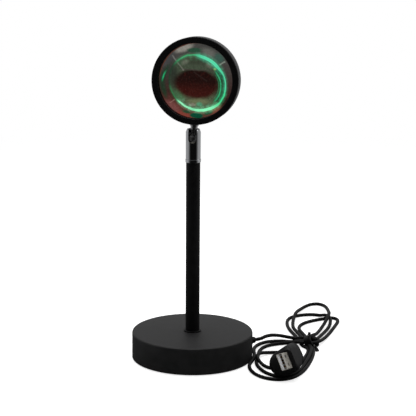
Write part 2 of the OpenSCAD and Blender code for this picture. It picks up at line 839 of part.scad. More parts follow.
module usb_grip() {
    half = grip_w / 2;
    cap_y = usb_l + grip_l - grip_cap_l;
    color([0.07, 0.07, 0.07]) in_plug() difference() {
        union() {
            hull() {
                grip_slice(usb_l, 0.5, 1.5, half - 5, 4 - half, half - 5);
                grip_slice(usb_l + 2.5, 1, 1.5, half - 2.8, 1.5 - half, half - 2.5);
                grip_slice(cap_y, 1, -1, half - 5, -half, half - 6);
                grip_slice(usb_l + grip_l - 0.5, 0.5, -1, half - 7.5, 3.5 - half, half - 8);
            }
            translate([0, usb_l + grip_l - 1, 0]) rotate([-90, 0, 0])
                cylinder(r1 = tail_r + 1.2, r2 = tail_r, h = tail_l + 1);
        }
        translate([-usb_w / 2 - 0.05, usb_l - 1, -usb_h / 2 - 0.05])
            cube([usb_w + 0.1, usb_set_in + 1, usb_h + 0.1]);
    }
}

module usb_shell() {
    t = usb_wall;
    hole = 2.4;
    color([0.8, 0.8, 0.8]) in_plug() difference() {
        translate([-usb_w / 2, 0, -usb_h / 2]) cube([usb_w, usb_l + usb_set_in, usb_h]);
        translate([-usb_w / 2 + t, -1, -usb_h / 2 + t])
            cube([usb_w - 2 * t, usb_l + usb_set_in + 2, usb_h - 2 * t]);
        for (x = [-1, 1])
            translate([x * 3 - hole / 2, 5.2, -usb_h]) cube([hole, hole, 2 * usb_h]);
    }
}

module usb_tongue() {
    t = usb_wall + 0.02;
    color([0.9, 0.9, 0.9]) in_plug()
        translate([-usb_w / 2 + t, 0.3, -usb_h / 2 + t])
            cube([usb_w - 2 * t, usb_l + usb_set_in - 0.3, 1.85]);
}

module usb_contacts() {
    top = -usb_h / 2 + usb_wall + 0.02 + 1.85;
    color([0.85, 0.65, 0.3]) in_plug()
        for (x = [-3.5, -1, 1, 3.5])
            translate([x - 0.55, 1, top]) cube([1.1, usb_l - 1, 0.15]);
}

base_shell();
base_weight();
base_plate();
foot_pad();
plate_screws_set();
pole_nipple();
pole_nut();
pole_washer();
foot_collar();
pole();
cord_grommet();
cord_stop();
inner_lead();
socket_collar();
joint_spring();
ball_cup();
socket_tube();
ball_stem();
neck_nut();
inner_washer();
inner_nut();
drum();
front_ring();
lens();
lens_gasket();
thin_ring();
filter_disc();
split_ring();
light_shroud();
condenser();
condenser_holder();
led_board();
led_chip();
board_screws();
heat_sink();
sink_screws();
head_wires();
cord_lead();
cord_hank();
cord_tie();
cord_tail();
usb_grip();
usb_shell();
usb_tongue();
usb_contacts();
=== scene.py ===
import math

import bmesh
import bpy
from mathutils import Matrix, Vector


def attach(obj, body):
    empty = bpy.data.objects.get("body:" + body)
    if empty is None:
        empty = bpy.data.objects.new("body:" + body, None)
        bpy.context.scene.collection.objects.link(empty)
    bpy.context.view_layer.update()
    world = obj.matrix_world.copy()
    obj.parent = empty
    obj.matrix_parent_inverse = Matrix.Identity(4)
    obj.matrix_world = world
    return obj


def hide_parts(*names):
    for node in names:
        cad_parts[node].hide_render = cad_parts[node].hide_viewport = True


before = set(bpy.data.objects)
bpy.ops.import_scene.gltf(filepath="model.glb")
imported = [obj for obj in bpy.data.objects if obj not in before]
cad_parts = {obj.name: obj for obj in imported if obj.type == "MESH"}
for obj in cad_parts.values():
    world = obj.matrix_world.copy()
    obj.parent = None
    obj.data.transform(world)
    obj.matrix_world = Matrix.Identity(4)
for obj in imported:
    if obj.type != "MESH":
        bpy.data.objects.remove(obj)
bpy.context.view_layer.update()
MM = 0.001

# ---- Places, in millimetres and degrees, as the CAD has them ----

# The ball's height, and how far the neck leans back and to the right at rest
BALL_Z = 166.7
REST_TILT = 5
REST_LEAN = 3
# The neck's distance behind the head's front face, and the head's middle above the ball
NECK_BACK = 13.5
HEAD_ARM = 42.3
# Where the cord leaves the base
EXIT_Z = 10.5
EXIT_ANGLE = 19
# The plug's mouth, how the plug is turned, and where its metal shell comes out of the grip
PLUG_AT = (73.8, -57, 19)
PLUG_TURN = (-6, -16.5, 64)
PLUG_ROOT = 12
# The cord's route is lifted by what it is thicker than in the CAD
CORD_R = 1.35
CORD_LIFT = 0.15


def turned(axis, degrees):
    return Matrix.Rotation(math.radians(degrees), 4, axis)


def moved(x, y, z):
    return Matrix.Translation((x * MM, y * MM, z * MM))


STANDING = Matrix.Identity(4)
ON_BALL = moved(0, 0, BALL_Z) @ turned("Y", REST_LEAN) @ turned("X", -REST_TILT)
# Head pieces: local Z runs from the front face backwards, and local Y runs down
IN_HEAD = ON_BALL @ moved(0, -NECK_BACK, HEAD_ARM) @ turned("X", -90)
# Grommet: local Z runs outwards along the cord
AT_EXIT = moved(0, 0, EXIT_Z) @ turned("Z", EXIT_ANGLE) @ turned("Y", 90)
# Plug: local Y runs from the mouth backwards, and local X is the wide way
IN_PLUG = (
    moved(*PLUG_AT)
    @ turned("Z", PLUG_TURN[0])
    @ turned("X", PLUG_TURN[1])
    @ turned("Y", PLUG_TURN[2])
)


def leaning(degrees):
    """The plug's place, leaned over about the root of its metal shell."""
    return IN_PLUG @ moved(0, PLUG_ROOT, 0) @ turned("X", degrees) @ moved(0, -PLUG_ROOT, 0)


GRIP_PLACE = leaning(5)
SHELL_PLACE = leaning(8)

# ---- Shader maths ----


def put(tree, socket, value):
    """Link a socket to a value, or set it to a number or colour."""
    if isinstance(value, Value):
        tree.links.new(value.socket, socket)
    else:
        socket.default_value = value


def add_node(tree, kind, inputs, output=0, **settings):
    """A new node: its settings, then its sockets by name or place. Gives one of its outputs."""
    node = tree.nodes.new(kind)
    for key, value in settings.items():
        setattr(node, key, value)
    for key, value in inputs.items():
        put(tree, node.inputs[key], value)
    return Value(tree, node.outputs[output]) if node.outputs else None


class Value:
    """An output in a node tree, for writing sums in the usual way."""

    def __init__(self, tree, socket):
        self.tree = tree
        self.socket = socket

    def math(self, operation, *others, clamp=False):
        numbers = dict(enumerate((self, *others)))
        return add_node(self.tree, "ShaderNodeMath", numbers, operation=operation, use_clamp=clamp)

    def swapped(self, operation, other):
        """A sum with this value as its second number."""
        return add_node(self.tree, "ShaderNodeMath", {0: other, 1: self}, operation=operation)

    def __add__(self, other):
        return self.math("ADD", other)

    __radd__ = __add__

    def __sub__(self, other):
        return self.math("SUBTRACT", other)

    def __rsub__(self, other):
        return self.swapped("SUBTRACT", other)

    def __mul__(self, other):
        return self.math("MULTIPLY", other)

    __rmul__ = __mul__

    def __truediv__(self, other):
        return self.math("DIVIDE", other)

    def __rtruediv__(self, other):
        return self.swapped("DIVIDE", other)

    def abs(self):
        return self.math("ABSOLUTE")

    def clamped(self):
        return self.math("ADD", 0, clamp=True)

    def rise(self, low, high):
        """0 below low, 1 above high and smooth between them; low may be the larger."""
        sockets = {"Value": self, "From Min": low, "From Max": high}
        return add_node(self.tree, "ShaderNodeMapRange", sockets, interpolation_type="SMOOTHSTEP")

    def near(self, centre, width):
        """1 where the value is centre, falling to 0 at width on both sides of it."""
        return (self - centre).abs().rise(width, 0)

    def axes(self):
        """The x, y and z of a vector."""
        x = add_node(self.tree, "ShaderNodeSeparateXYZ", {0: self})
        return [Value(self.tree, socket) for socket in x.socket.node.outputs]


class Finish:
    """The nodes of a material, or of the room's world, and short ways to add to them."""

    def __init__(self, owner):
        owner.use_nodes = True
        self.owner = owner
        self.tree = owner.node_tree
        self.tree.nodes.clear()

    def node(self, kind, inputs, output=0, **settings):
        return add_node(self.tree, kind, inputs, output, **settings)

    def place(self):
        """Object coordinates in millimetres."""
        here = self.node("ShaderNodeTexCoord", {}, "Object")
        return self.node("ShaderNodeVectorMath", {0: here, "Scale": 1 / MM}, operation="SCALE")

    def ray(self, kind):
        return self.node("ShaderNodeLightPath", {}, f"Is {kind} Ray")

    def noise(self, place, scale, detail=2.0, roughness=0.5):
        sockets = {"Vector": place, "Scale": scale, "Detail": detail, "Roughness": roughness}
        return self.node("ShaderNodeTexNoise", sockets, "Fac")

    def mix(self, amount, a, b):
        """Colour a turning into colour b as amount goes from 0 to 1."""
        return self.node("ShaderNodeMix", {0: amount, 6: rgb(a), 7: rgb(b)}, 2, data_type="RGBA")

    def blend(self, amount, a, b):
        """Shader a turning into shader b as amount goes from 0 to 1."""
        return self.node("ShaderNodeMixShader", {0: amount, 1: a, 2: b})

    def bump(self, height, distance):
        return self.node("ShaderNodeBump", {"Height": height, "Distance": distance})

    def glow(self, strength):
        return self.node("ShaderNodeEmission", {"Color": rgb(WHITE), "Strength": strength})

    def principled(self, base, rough, **more):
        sockets = {"Base Color": rgb(base), "Roughness": rough}
        for key, value in more.items():
            sockets[key.replace("_", " ")] = rgb(value)
        return self.node("ShaderNodeBsdfPrincipled", sockets)

    def surface(self, shader, kind="ShaderNodeOutputMaterial"):
        """Show this shader, and give the material or world that it is for."""
        self.node(kind, {"Surface": shader})
        return self.owner


WHITE = (1.0, 1.0, 1.0)


def rgb(value):
    """A colour of three numbers with the fourth that sockets ask for, or else the value itself."""
    return (*value, 1.0) if isinstance(value, tuple) and len(value) == 3 else value


def screen(red, green, blue):
    """A colour by how it looks on a screen, each part from 0 to 255."""
    return tuple(((c / 255 + 0.055) / 1.055) ** 2.4 for c in (red, green, blue))


def grained(name, base, rough, metal=0.0, grain=2.0, depth=0.01, uneven=0.06, tint=0.15, **more):
    """A finish with fine grain, uneven gloss and slight mottling of its colour."""
    finish = Finish(bpy.data.materials.new(name))
    place = finish.place()
    fine = finish.noise(place, grain, 3.0, 0.6)
    broad = finish.noise(place, grain / 18)
    darker = tuple(c * (1 - tint) for c in base)
    lighter = tuple(min(1.0, c * (1 + tint)) for c in base)
    colour = finish.mix(broad.rise(0.3, 0.7), darker, lighter)
    gloss = rough + (broad - 0.5) * uneven * 2 + (fine - 0.5) * uneven
    relief = finish.bump(fine, depth * MM)
    return finish.surface(finish.principled(colour, gloss, Metallic=metal, Normal=relief, **more))


def turned_metal(name, base, rough, pitch, depth=0.002, metal=1.0):
    """Metal with the fine rings that a lathe leaves round the local Z axis, and a few smudges."""
    finish = Finish(bpy.data.materials.new(name))
    place = finish.place()
    along = place.axes()[2]
    lines = (along * (2 * math.pi / pitch)).math("SINE")
    smudge = finish.noise(place, 0.25, 3.0)
    colour = finish.mix(smudge, base, tuple(c * 0.85 for c in base))
    gloss = rough + smudge.rise(0.45, 0.75) * 0.08
    relief = finish.bump(lines, depth * MM)
    return finish.surface(finish.principled(colour, gloss, Metallic=metal, Normal=relief))


# ---- Mesh making ----


def linked(name, data):
    """An object for a mesh, curve, lamp or camera, put into the scene."""
    thing = bpy.data.objects.new(name, data)
    bpy.context.scene.collection.objects.link(thing)
    return thing


def sharpened(mesh, degrees):
    """The mesh with smooth faces, and creases where two meet at more than this angle."""
    work = bmesh.new()
    work.from_mesh(mesh)
    bmesh.ops.recalc_face_normals(work, faces=work.faces)
    for face in work.faces:
        face.smooth = True
    for edge in work.edges:
        edge.smooth = len(edge.link_faces) == 2 and edge.calc_face_angle(0) < math.radians(degrees)
    work.to_mesh(mesh)
    work.free()
    return mesh


def as_mesh(work, name):
    """The mesh that was built in work."""
    mesh = bpy.data.meshes.new(name)
    work.to_mesh(mesh)
    work.free()
    return mesh


def piece(name, mesh, place, body, material, nodes=()):
    """A finished piece: standing in its place, riding on its body and shown for its CAD nodes."""
    thing = linked(name, mesh)
    thing.matrix_world = place
    mesh.materials.clear()
    mesh.materials.append(material)
    bpy.context.view_layer.update()
    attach(thing, body)
    if nodes:
        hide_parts(*nodes)
    return thing


def around(count):
    """Even steps round a circle, each as its cosine and sine."""
    turns = [2 * math.pi * k / count for k in range(count)]
    return [(math.cos(turn), math.sin(turn)) for turn in turns]


def arc(r, z, radius, angles):
    """Outline corners on an arc about (r, z), at these angles in degrees."""
    return [
        (r + radius * math.cos(a), z + radius * math.sin(a), 0) for a in map(math.radians, angles)
    ]


def rounded(corners, closed=True, steps=5):
    """The outline through corners (r, z, radius), with each corner rounded by its radius."""
    line = []
    count = len(corners)
    for i, (r, z, radius) in enumerate(corners):
        here = Vector((r, z))
        if not radius or (not closed and i in (0, count - 1)):
            line.append(here)
            continue
        before = Vector(corners[i - 1][:2]) - here
        after = Vector(corners[(i + 1) % count][:2]) - here
        half = before.angle(after) / 2
        reach = min(radius / math.tan(half), before.length * 0.49, after.length * 0.49)
        start = here + before.normalized() * reach
        end = here + after.normalized() * reach
        for k in range(steps + 1):
            t = k / steps
            line.append((1 - t) ** 2 * start + 2 * t * (1 - t) * here + t * t * end)
    return line


def skin(work, rings, closed=False):
    """Faces from each ring of points to the next. A ring may be a single point."""
    for i in range(len(rings) if closed else len(rings) - 1):
        a, b = rings[i], rings[(i + 1) % len(rings)]
        count = max(len(a), len(b))
        for k in range(count if count > 1 else 0):
            n = (k + 1) % count
            corners = (a[k % len(a)], a[n % len(a)], b[n % len(b)], b[k % len(b)])
            work.faces.new(tuple(dict.fromkeys(corners)))


def lathe(corners, turns=144, closed=True):
    """A mesh turned round Z from an outline of (r, z, corner radius), in millimetres."""
    work = bmesh.new()
    rings = []
    for p in rounded(corners, closed):
        directions = [(0, 0)] if p.x < 1e-6 else around(turns)
        rings.append([work.verts.new(Vector((p.x * c, p.x * s, p.y)) * MM) for c, s in directions])
    skin(work, rings, closed)
    return sharpened(as_mesh(work, "turned piece"), 32)


def slab(low, high, bevel=0.0, steps=2):
    """A block between two corners, in millimetres, with its edges rounded."""
    work = bmesh.new()
    bmesh.ops.create_cube(work, size=1.0)
    for v in work.verts:
        for i in range(3):
            v.co[i] = ((low[i] + high[i]) / 2 + v.co[i] * (high[i] - low[i])) * MM
    if bevel:
        bmesh.ops.bevel(
            work, geom=list(work.edges), offset=bevel * MM, segments=steps, profile=0.6,
            affect="EDGES",
        )
    return as_mesh(work, "block")


def rod(radius, low, high, at=(0, 0), sides=48):
    """A round bar along Z."""
    mesh = lathe([(0, low, 0), (radius, low, 0), (radius, high, 0), (0, high, 0)], sides, False)
    mesh.transform(moved(at[0], at[1], 0))
    return mesh


def carved(mesh, steps):
    """The mesh changed by each (operation, mesh) in turn, with creases at its edges."""
    thing = linked("work", mesh)
    tools = []
    for operation, other in steps:
        tools.append(linked("tool", other))
        change = thing.modifiers.new("change", "BOOLEAN")
        change.operation = operation
        change.solver = "EXACT"
        change.object = tools[-1]
    bpy.context.view_layer.update()
    result = bpy.data.meshes.new_from_object(
        thing.evaluated_get(bpy.context.evaluated_depsgraph_get())
    )
    for tool in [thing, *tools]:
        bpy.data.objects.remove(tool)
    return sharpened(result, 28)


def combined(*meshes):
    """Several meshes as one, without joining their surfaces."""
    work = bmesh.new()
    for mesh in meshes:
        work.from_mesh(mesh)
    return as_mesh(work, "set of pieces")


def part_way(t, a, b, start, end):
    """From a, where t is start, to b, where t is end."""
    return a * ((end - t) / (end - start)) + b * ((t - start) / (end - start))


def smooth_path(points, step=1.0):
    """Points about a step apart on a smooth curve through the given ones."""
    knots = [Vector(p) for p in points]
    line = []
    for i in range(len(knots) - 1):
        p = [knots[max(i - 1, 0)], *knots[i : i + 2], knots[min(i + 2, len(knots) - 1)]]
        t = [0.0]
        for a, b in zip(p, p[1:]):
            t.append(t[-1] + max((b - a).length, 1e-3) ** 0.5)
        count = max(2, round((p[2] - p[1]).length / step))
        for k in range(count):
            now = t[1] + (t[2] - t[1]) * k / count
            a = [part_way(now, p[j], p[j + 1], t[j], t[j + 1]) for j in range(3)]
            b = [part_way(now, a[j], a[j + 1], t[j], t[j + 2]) for j in range(2)]
            line.append(part_way(now, b[0], b[1], t[1], t[2]))
    line.append(knots[-1])
    return line


# ---- Finishes ----

powder = grained(
    "black powder coat", (0.0135, 0.0135, 0.014), 0.56, grain=2.6, depth=0.02, uneven=0.05,
    Specular_IOR_Level=0.25,
)
drum_black = grained(
    "black powder coat on the drum", (0.03, 0.03, 0.0315), 0.5, grain=2.6, depth=0.02,
    uneven=0.05, Specular_IOR_Level=0.45,
)
pole_black = grained(
    "black powder coat on the pole", (0.007, 0.007, 0.0075), 0.45, grain=3.2, depth=0.012,
    uneven=0.04, Specular_IOR_Level=0.09,
)
ring_black = grained(
    "black powder coat on the front ring", (0.0045, 0.0045, 0.005), 0.55, grain=3.0, depth=0.012,
    uneven=0.04, Specular_IOR_Level=0.15,
)
chrome = turned_metal("dark chrome", (0.52, 0.53, 0.55), 0.1, 0.5, 0.0008)
joint_edge = turned_metal("bright chrome", (0.58, 0.59, 0.61), 0.12, 0.4, 0.0008)
stem_metal = turned_metal("dark stem metal", (0.55, 0.55, 0.56), 0.42, 0.4, 0.0008)
rubber = grained(
    "cord rubber", (0.0026, 0.0026, 0.0028), 0.5, grain=1.4, depth=0.02, uneven=0.1,
    Specular_IOR_Level=0.15,
)
grip_rubber = grained(
    "moulded grip", (0.0055, 0.0055, 0.006), 0.55, grain=2.2, depth=0.015, uneven=0.08,
    Specular_IOR_Level=0.17,
)
tie_wrap = grained(
    "tie plastic", (0.002, 0.002, 0.002), 0.45, grain=1.0, depth=0.03, uneven=0.1,
    Specular_IOR_Level=0.18,
)
wire_end = grained("cut wire end", (0.55, 0.55, 0.54), 0.35, metal=0.9, grain=3.0)
zinc = grained("zinc plate", (0.55, 0.56, 0.57), 0.38, metal=1.0, grain=0.8, depth=0.006)
steel = grained("spring steel", (0.45, 0.46, 0.48), 0.28, metal=1.0, grain=1.5, depth=0.004)
iron = grained("cast iron", (0.09, 0.09, 0.092), 0.7, metal=0.6, grain=0.9, depth=0.12)
foam = grained("foam rubber", (0.012, 0.012, 0.012), 0.9, grain=2.5, depth=0.2)
fin_black = turned_metal("black anodised aluminium", (0.018, 0.018, 0.02), 0.42, 0.7, 0.003, 0.55)
screw_black = grained("black oxide", (0.02, 0.02, 0.022), 0.4, metal=0.8, grain=2.0)
shroud_black = grained("black shroud", (0.012, 0.012, 0.013), 0.5, grain=1.5)
holder_black = grained("black nylon", (0.01, 0.01, 0.01), 0.55, grain=1.5)
board = grained("white solder mask", (0.75, 0.76, 0.74), 0.4, grain=1.2)
phosphor = grained("phosphor", (0.8, 0.6, 0.12), 0.6, grain=4.0)
wire_plastic = grained("wire plastic", (0.2, 0.015, 0.012), 0.45, grain=1.5)
cup = grained("acetal cup", (0.7, 0.68, 0.6), 0.5, grain=1.5)
plug_white = grained("white plug plastic", (0.76, 0.77, 0.78), 0.45, grain=1.6, depth=0.01)
gold = grained("contact gold", (0.5, 0.3, 0.12), 0.3, metal=1.0, grain=2.0, depth=0.004)
tin = grained(
    "tinned steel", (0.5, 0.48, 0.43), 0.36, metal=0.35, grain=0.7, depth=0.005, uneven=0.12,
    Specular_IOR_Level=0.6,
)
clear = grained("condenser glass", (0.9, 0.9, 0.86), 0.05, grain=0.5, Transmission_Weight=0.9)

# The CAD's own solids that stay, by finish
CAD_FINISH = [
    (iron, ["base_weight"]),
    (zinc, ["base_plate", "plate_screws_set", "pole_nipple", "pole_nut", "pole_washer"]),
    (zinc, ["cord_stop", "inner_washer", "inner_nut", "board_screws"]),
    (steel, ["joint_spring", "split_ring"]),
    (screw_black, ["sink_screws"]),
    (foam, ["foot_pad", "lens_gasket"]),
    (holder_black, ["thin_ring", "condenser_holder"]),
    (shroud_black, ["light_shroud"]),
    (cup, ["ball_cup"]),
    (clear, ["condenser"]),
    (board, ["led_board"]),
    (phosphor, ["led_chip"]),
    (rubber, ["inner_lead"]),
    (wire_plastic, ["head_wires"]),
]
for material, names in CAD_FINISH:
    for name in names:
        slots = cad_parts[name].data.materials
        slots.clear()
        slots.append(material)

# ---- Base and pole ----

# Radii, and heights above the table
BASE_R = 45
BASE_LOW = 0.6
BASE_TOP = 20.4
BASE_WALL = 1.5
COLLAR_R = 6.5
COLLAR_TOP = 21.4
POLE_R = 5.2
POLE_BORE_R = 4.0
POLE_TOP = 149

base_inner_r = BASE_R - BASE_WALL
base_inner_top = BASE_TOP - BASE_WALL
pole_hole_r = POLE_BORE_R + 0.1
piece(
    "base",
    lathe(
        [
            (BASE_R, BASE_LOW, 0.3), (BASE_R, BASE_TOP, 1.3), (pole_hole_r, BASE_TOP, 0),
            (pole_hole_r, base_inner_top, 0), (base_inner_r, base_inner_top, 0.4),
            (base_inner_r, BASE_LOW, 0.2),
        ],
        256,
    ),
    STANDING, "base", powder, ["base_shell"],
)
piece(
    "foot_washer",
    lathe(
        [
            (COLLAR_R, BASE_TOP, 0), (COLLAR_R, COLLAR_TOP, 0.35), (POLE_BORE_R, COLLAR_TOP, 0),
            (POLE_BORE_R, BASE_TOP, 0),
        ],
        96,
    ),
    STANDING, "base", pole_black, ["foot_collar"],
)
piece(
    "pole_tube",
    lathe(
        [
            (POLE_R, COLLAR_TOP, 0.15), (POLE_R, POLE_TOP, 0.25), (POLE_BORE_R, POLE_TOP, 0.1),
            (POLE_BORE_R, COLLAR_TOP, 0.1),
        ],
        128,
    ),
    STANDING, "base", pole_black, ["pole"],
)

# ---- Ball joint ----

# The foot goes into the pole with its pin and into the tube with its upper end
PIN_R = POLE_BORE_R - 0.05
PIN_LOW = POLE_TOP - 7
RIM_R = 5.7
RIM_TOP = 151.3
TUBE_FOOT_R = 4.15
TUBE_FOOT_TOP = 155
WIRE_WAY_R = 2.2
# The tube round the ball, and its slot
TUBE_R = 5.45
TUBE_BORE_R = 4.2
TUBE_TOP = 173.5
MOUTH_R = 4.3
MOUTH_EDGE_R = 4.65
CHAMFER = 2.2
SEAT_R = 4.15
SLOT_HALF = 3.075
SLOT_OUT = 11
# Ball, stem and nut, with their heights above the ball's middle
BALL_R = 4.1
BALL_LOW = -3.85
STEM_R = 2.6
STEM_BORE_R = 1.4
STEM_TOP = 17.1
GROOVE_R = 2.42
GROOVE_LOW = 3.4
GROOVE_TOP = 5.4
NUT_BORE_R = 2.66
NUT_LOW = 8.9
NUT_TOP = 10.7

piece(
    "socket_foot",
    lathe(
        [
            (PIN_R, PIN_LOW, 0.3), (PIN_R, POLE_TOP, 0), (RIM_R, POLE_TOP, 0.3),
            (RIM_R, RIM_TOP, 0.2), (TUBE_FOOT_R, RIM_TOP, 0),
            (TUBE_FOOT_R, TUBE_FOOT_TOP, 0.3), (WIRE_WAY_R, TUBE_FOOT_TOP, 0.2),
            (WIRE_WAY_R, PIN_LOW, 0.2),
        ],
        128,
    ),
    STANDING, "base", joint_edge, ["socket_collar"],
)


def socket_mesh():
    """The tube round the ball, with its chamfered top and the slot for the neck."""
    seat = arc(0, BALL_Z, SEAT_R, range(30, -1, -6))
    body = lathe(
        [
            (TUBE_R, RIM_TOP, 0.2), (TUBE_R, TUBE_TOP - CHAMFER, 0.2),
            (MOUTH_EDGE_R, TUBE_TOP, 0.15), (MOUTH_R, TUBE_TOP, 0.1), *seat,
            (TUBE_BORE_R, BALL_Z - 0.1, 0), (TUBE_BORE_R, RIM_TOP, 0.1),
        ],
        128,
    )
    slot = slab((-SLOT_HALF, -SLOT_OUT, BALL_Z), (SLOT_HALF, 0, BALL_Z + 2 * SLOT_OUT))
    end = rod(SLOT_HALF, 0, SLOT_OUT, sides=64)
    end.transform(moved(0, 0, BALL_Z) @ turned("X", 90))
    return carved(body, [("DIFFERENCE", slot), ("DIFFERENCE", end)])


piece("ball_socket", socket_mesh(), STANDING, "base", chrome, ["socket_tube"])
piece(
    "ball_and_stem",
    lathe(
        [
            (STEM_BORE_R, BALL_LOW, 0), *arc(0, 0, BALL_R, range(-70, 51, 6)),
            (GROOVE_R, GROOVE_LOW, 0.1), (GROOVE_R, GROOVE_TOP, 0.2), (STEM_R, GROOVE_TOP + 0.6, 0.2),
            (STEM_R, STEM_TOP, 0.3), (STEM_BORE_R, STEM_TOP, 0.1),
        ],
        96,
    ),
    ON_BALL, "ball", stem_metal, ["ball_stem"],
)
piece(
    "stem_nut",
    lathe(
        [
            (3.05, NUT_LOW, 0.15), (3.5, NUT_TOP, 0.2), (NUT_BORE_R, NUT_TOP, 0),
            (NUT_BORE_R, NUT_LOW, 0),
        ],
        96,
    ),
    ON_BALL, "head", stem_metal, ["neck_nut"],
)

# ---- Head ----

# Radii, and depths behind the front face
HEAD_R = 31.5
WINDOW_R = 27
RING_DEEP = 4
RING_PLAY = 0.05
SPIGOT_R = 29.9
SPIGOT_END = 8
LENS_BORE_R = 28.7
DRUM_BORE_R = 29
REAR_R = 25.5
REAR_BORE_R = 23
SHOULDER_Z = 15
REAR_WALL_Z = 17
DRUM_END = 33
NECK_HOLE_R = 2.7
# The heat sink, with its fins and screw posts
SINK_START = 30
SINK_END = 46
SINK_PLUG_R = REAR_BORE_R - 0.05
FIN_THICK = 1.6
FINS = 4
CORE_R = 19
POST_R = 3.2
RECESS_R = 2.45
RECESS_DEEP = 2.2
SCREW_CIRCLE_R = 21
SCREW_ANGLES = (30, 150, 270)


def drum_mesh():
    """A full-width front and a narrower rear, with a round shoulder between and the neck's hole."""
    spigot_bore_r = SPIGOT_R + RING_PLAY
    front = RING_DEEP + RING_PLAY
    ledge = SPIGOT_END + 0.2
    body = lathe(
        [
            (HEAD_R, front, 0.2), *arc(REAR_R, SHOULDER_Z, HEAD_R - REAR_R, range(0, 91, 6)),
            (REAR_R, DRUM_END, 0.4), (REAR_BORE_R, DRUM_END, 0.2), (REAR_BORE_R, REAR_WALL_Z, 0),
            (DRUM_BORE_R, REAR_WALL_Z, 0.2), (DRUM_BORE_R, ledge, 0), (spigot_bore_r, ledge, 0),
            (spigot_bore_r, front, 0),
        ],
        256,
    )
    hole = rod(NECK_HOLE_R, NUT_LOW, STEM_TOP)
    hole.transform(IN_HEAD.inverted() @ ON_BALL)
    return carved(body, [("DIFFERENCE", hole)])


def bezel_mesh():
    """The front ring, with a step for the lens and a spigot that fits into the drum."""
    back = RING_DEEP - RING_PLAY
    return lathe(
        [
            (WINDOW_R + 0.4, 0, 0.15), (HEAD_R, 0, 0.7), (HEAD_R, back, 0.15), (SPIGOT_R, back, 0),
            (SPIGOT_R, SPIGOT_END, 0.2), (LENS_BORE_R, SPIGOT_END, 0.1), (LENS_BORE_R, RING_DEEP, 0),
            (WINDOW_R, RING_DEEP, 0), (WINDOW_R, 0.4, 0.15),
        ],
        256,
    )


def sink_mesh():
    """Round cooling fins on a core, with three posts for the screws."""
    line = [(0, SINK_START, 0), (SINK_PLUG_R, SINK_START, 0.2), (SINK_PLUG_R, DRUM_END, 0)]
    pitch = (SINK_END - DRUM_END - FIN_THICK) / (FINS - 1)
    for i in range(FINS):
        start = DRUM_END + i * pitch
        line += [(REAR_R, start, 0.25), (REAR_R, start + FIN_THICK, 0.25)]
        if i < FINS - 1:
            line += [(CORE_R, start + FIN_THICK, 0.3), (CORE_R, start + pitch, 0.3)]
    line += [(0, SINK_END, 0)]
    screws = [(x, y) for x, y, _ in arc(0, 0, SCREW_CIRCLE_R, SCREW_ANGLES)]
    posts = [rod(POST_R, DRUM_END + 0.2, SINK_END - 0.1, at) for at in screws]
    recesses = [rod(RECESS_R, SINK_END - RECESS_DEEP, SINK_END + 2, at) for at in screws]
    steps = [("UNION", post) for post in posts] + [("DIFFERENCE", hole) for hole in recesses]
    return carved(lathe(line, 192, False), steps)


piece("drum_shell", drum_mesh(), IN_HEAD, "head", drum_black, ["drum"])
piece("bezel", bezel_mesh(), IN_HEAD, "head", ring_black, ["front_ring"])
piece("fins", sink_mesh(), IN_HEAD, "head", fin_black, ["heat_sink"])

# ---- Lens ----

# The glass, and the disc behind it with the lens's reflections painted on it
LENS_R = 28.5
LENS_FRONT = 0.4
LENS_BACK = 6.8
DOME_R = 26.8
DOME_HIGH = 4.2
DISC_FRONT = 7.4
DISC_BACK = 8.6
# The green ring, a painted reflection: its middle, half width and height, tilt in degrees and half
# thickness
RING_X = 1.05
RING_Y = -1.65
RING_WIDE = 21.6
RING_HIGH = 19.2
RING_TILT = -38
RING_LINE = 0.36
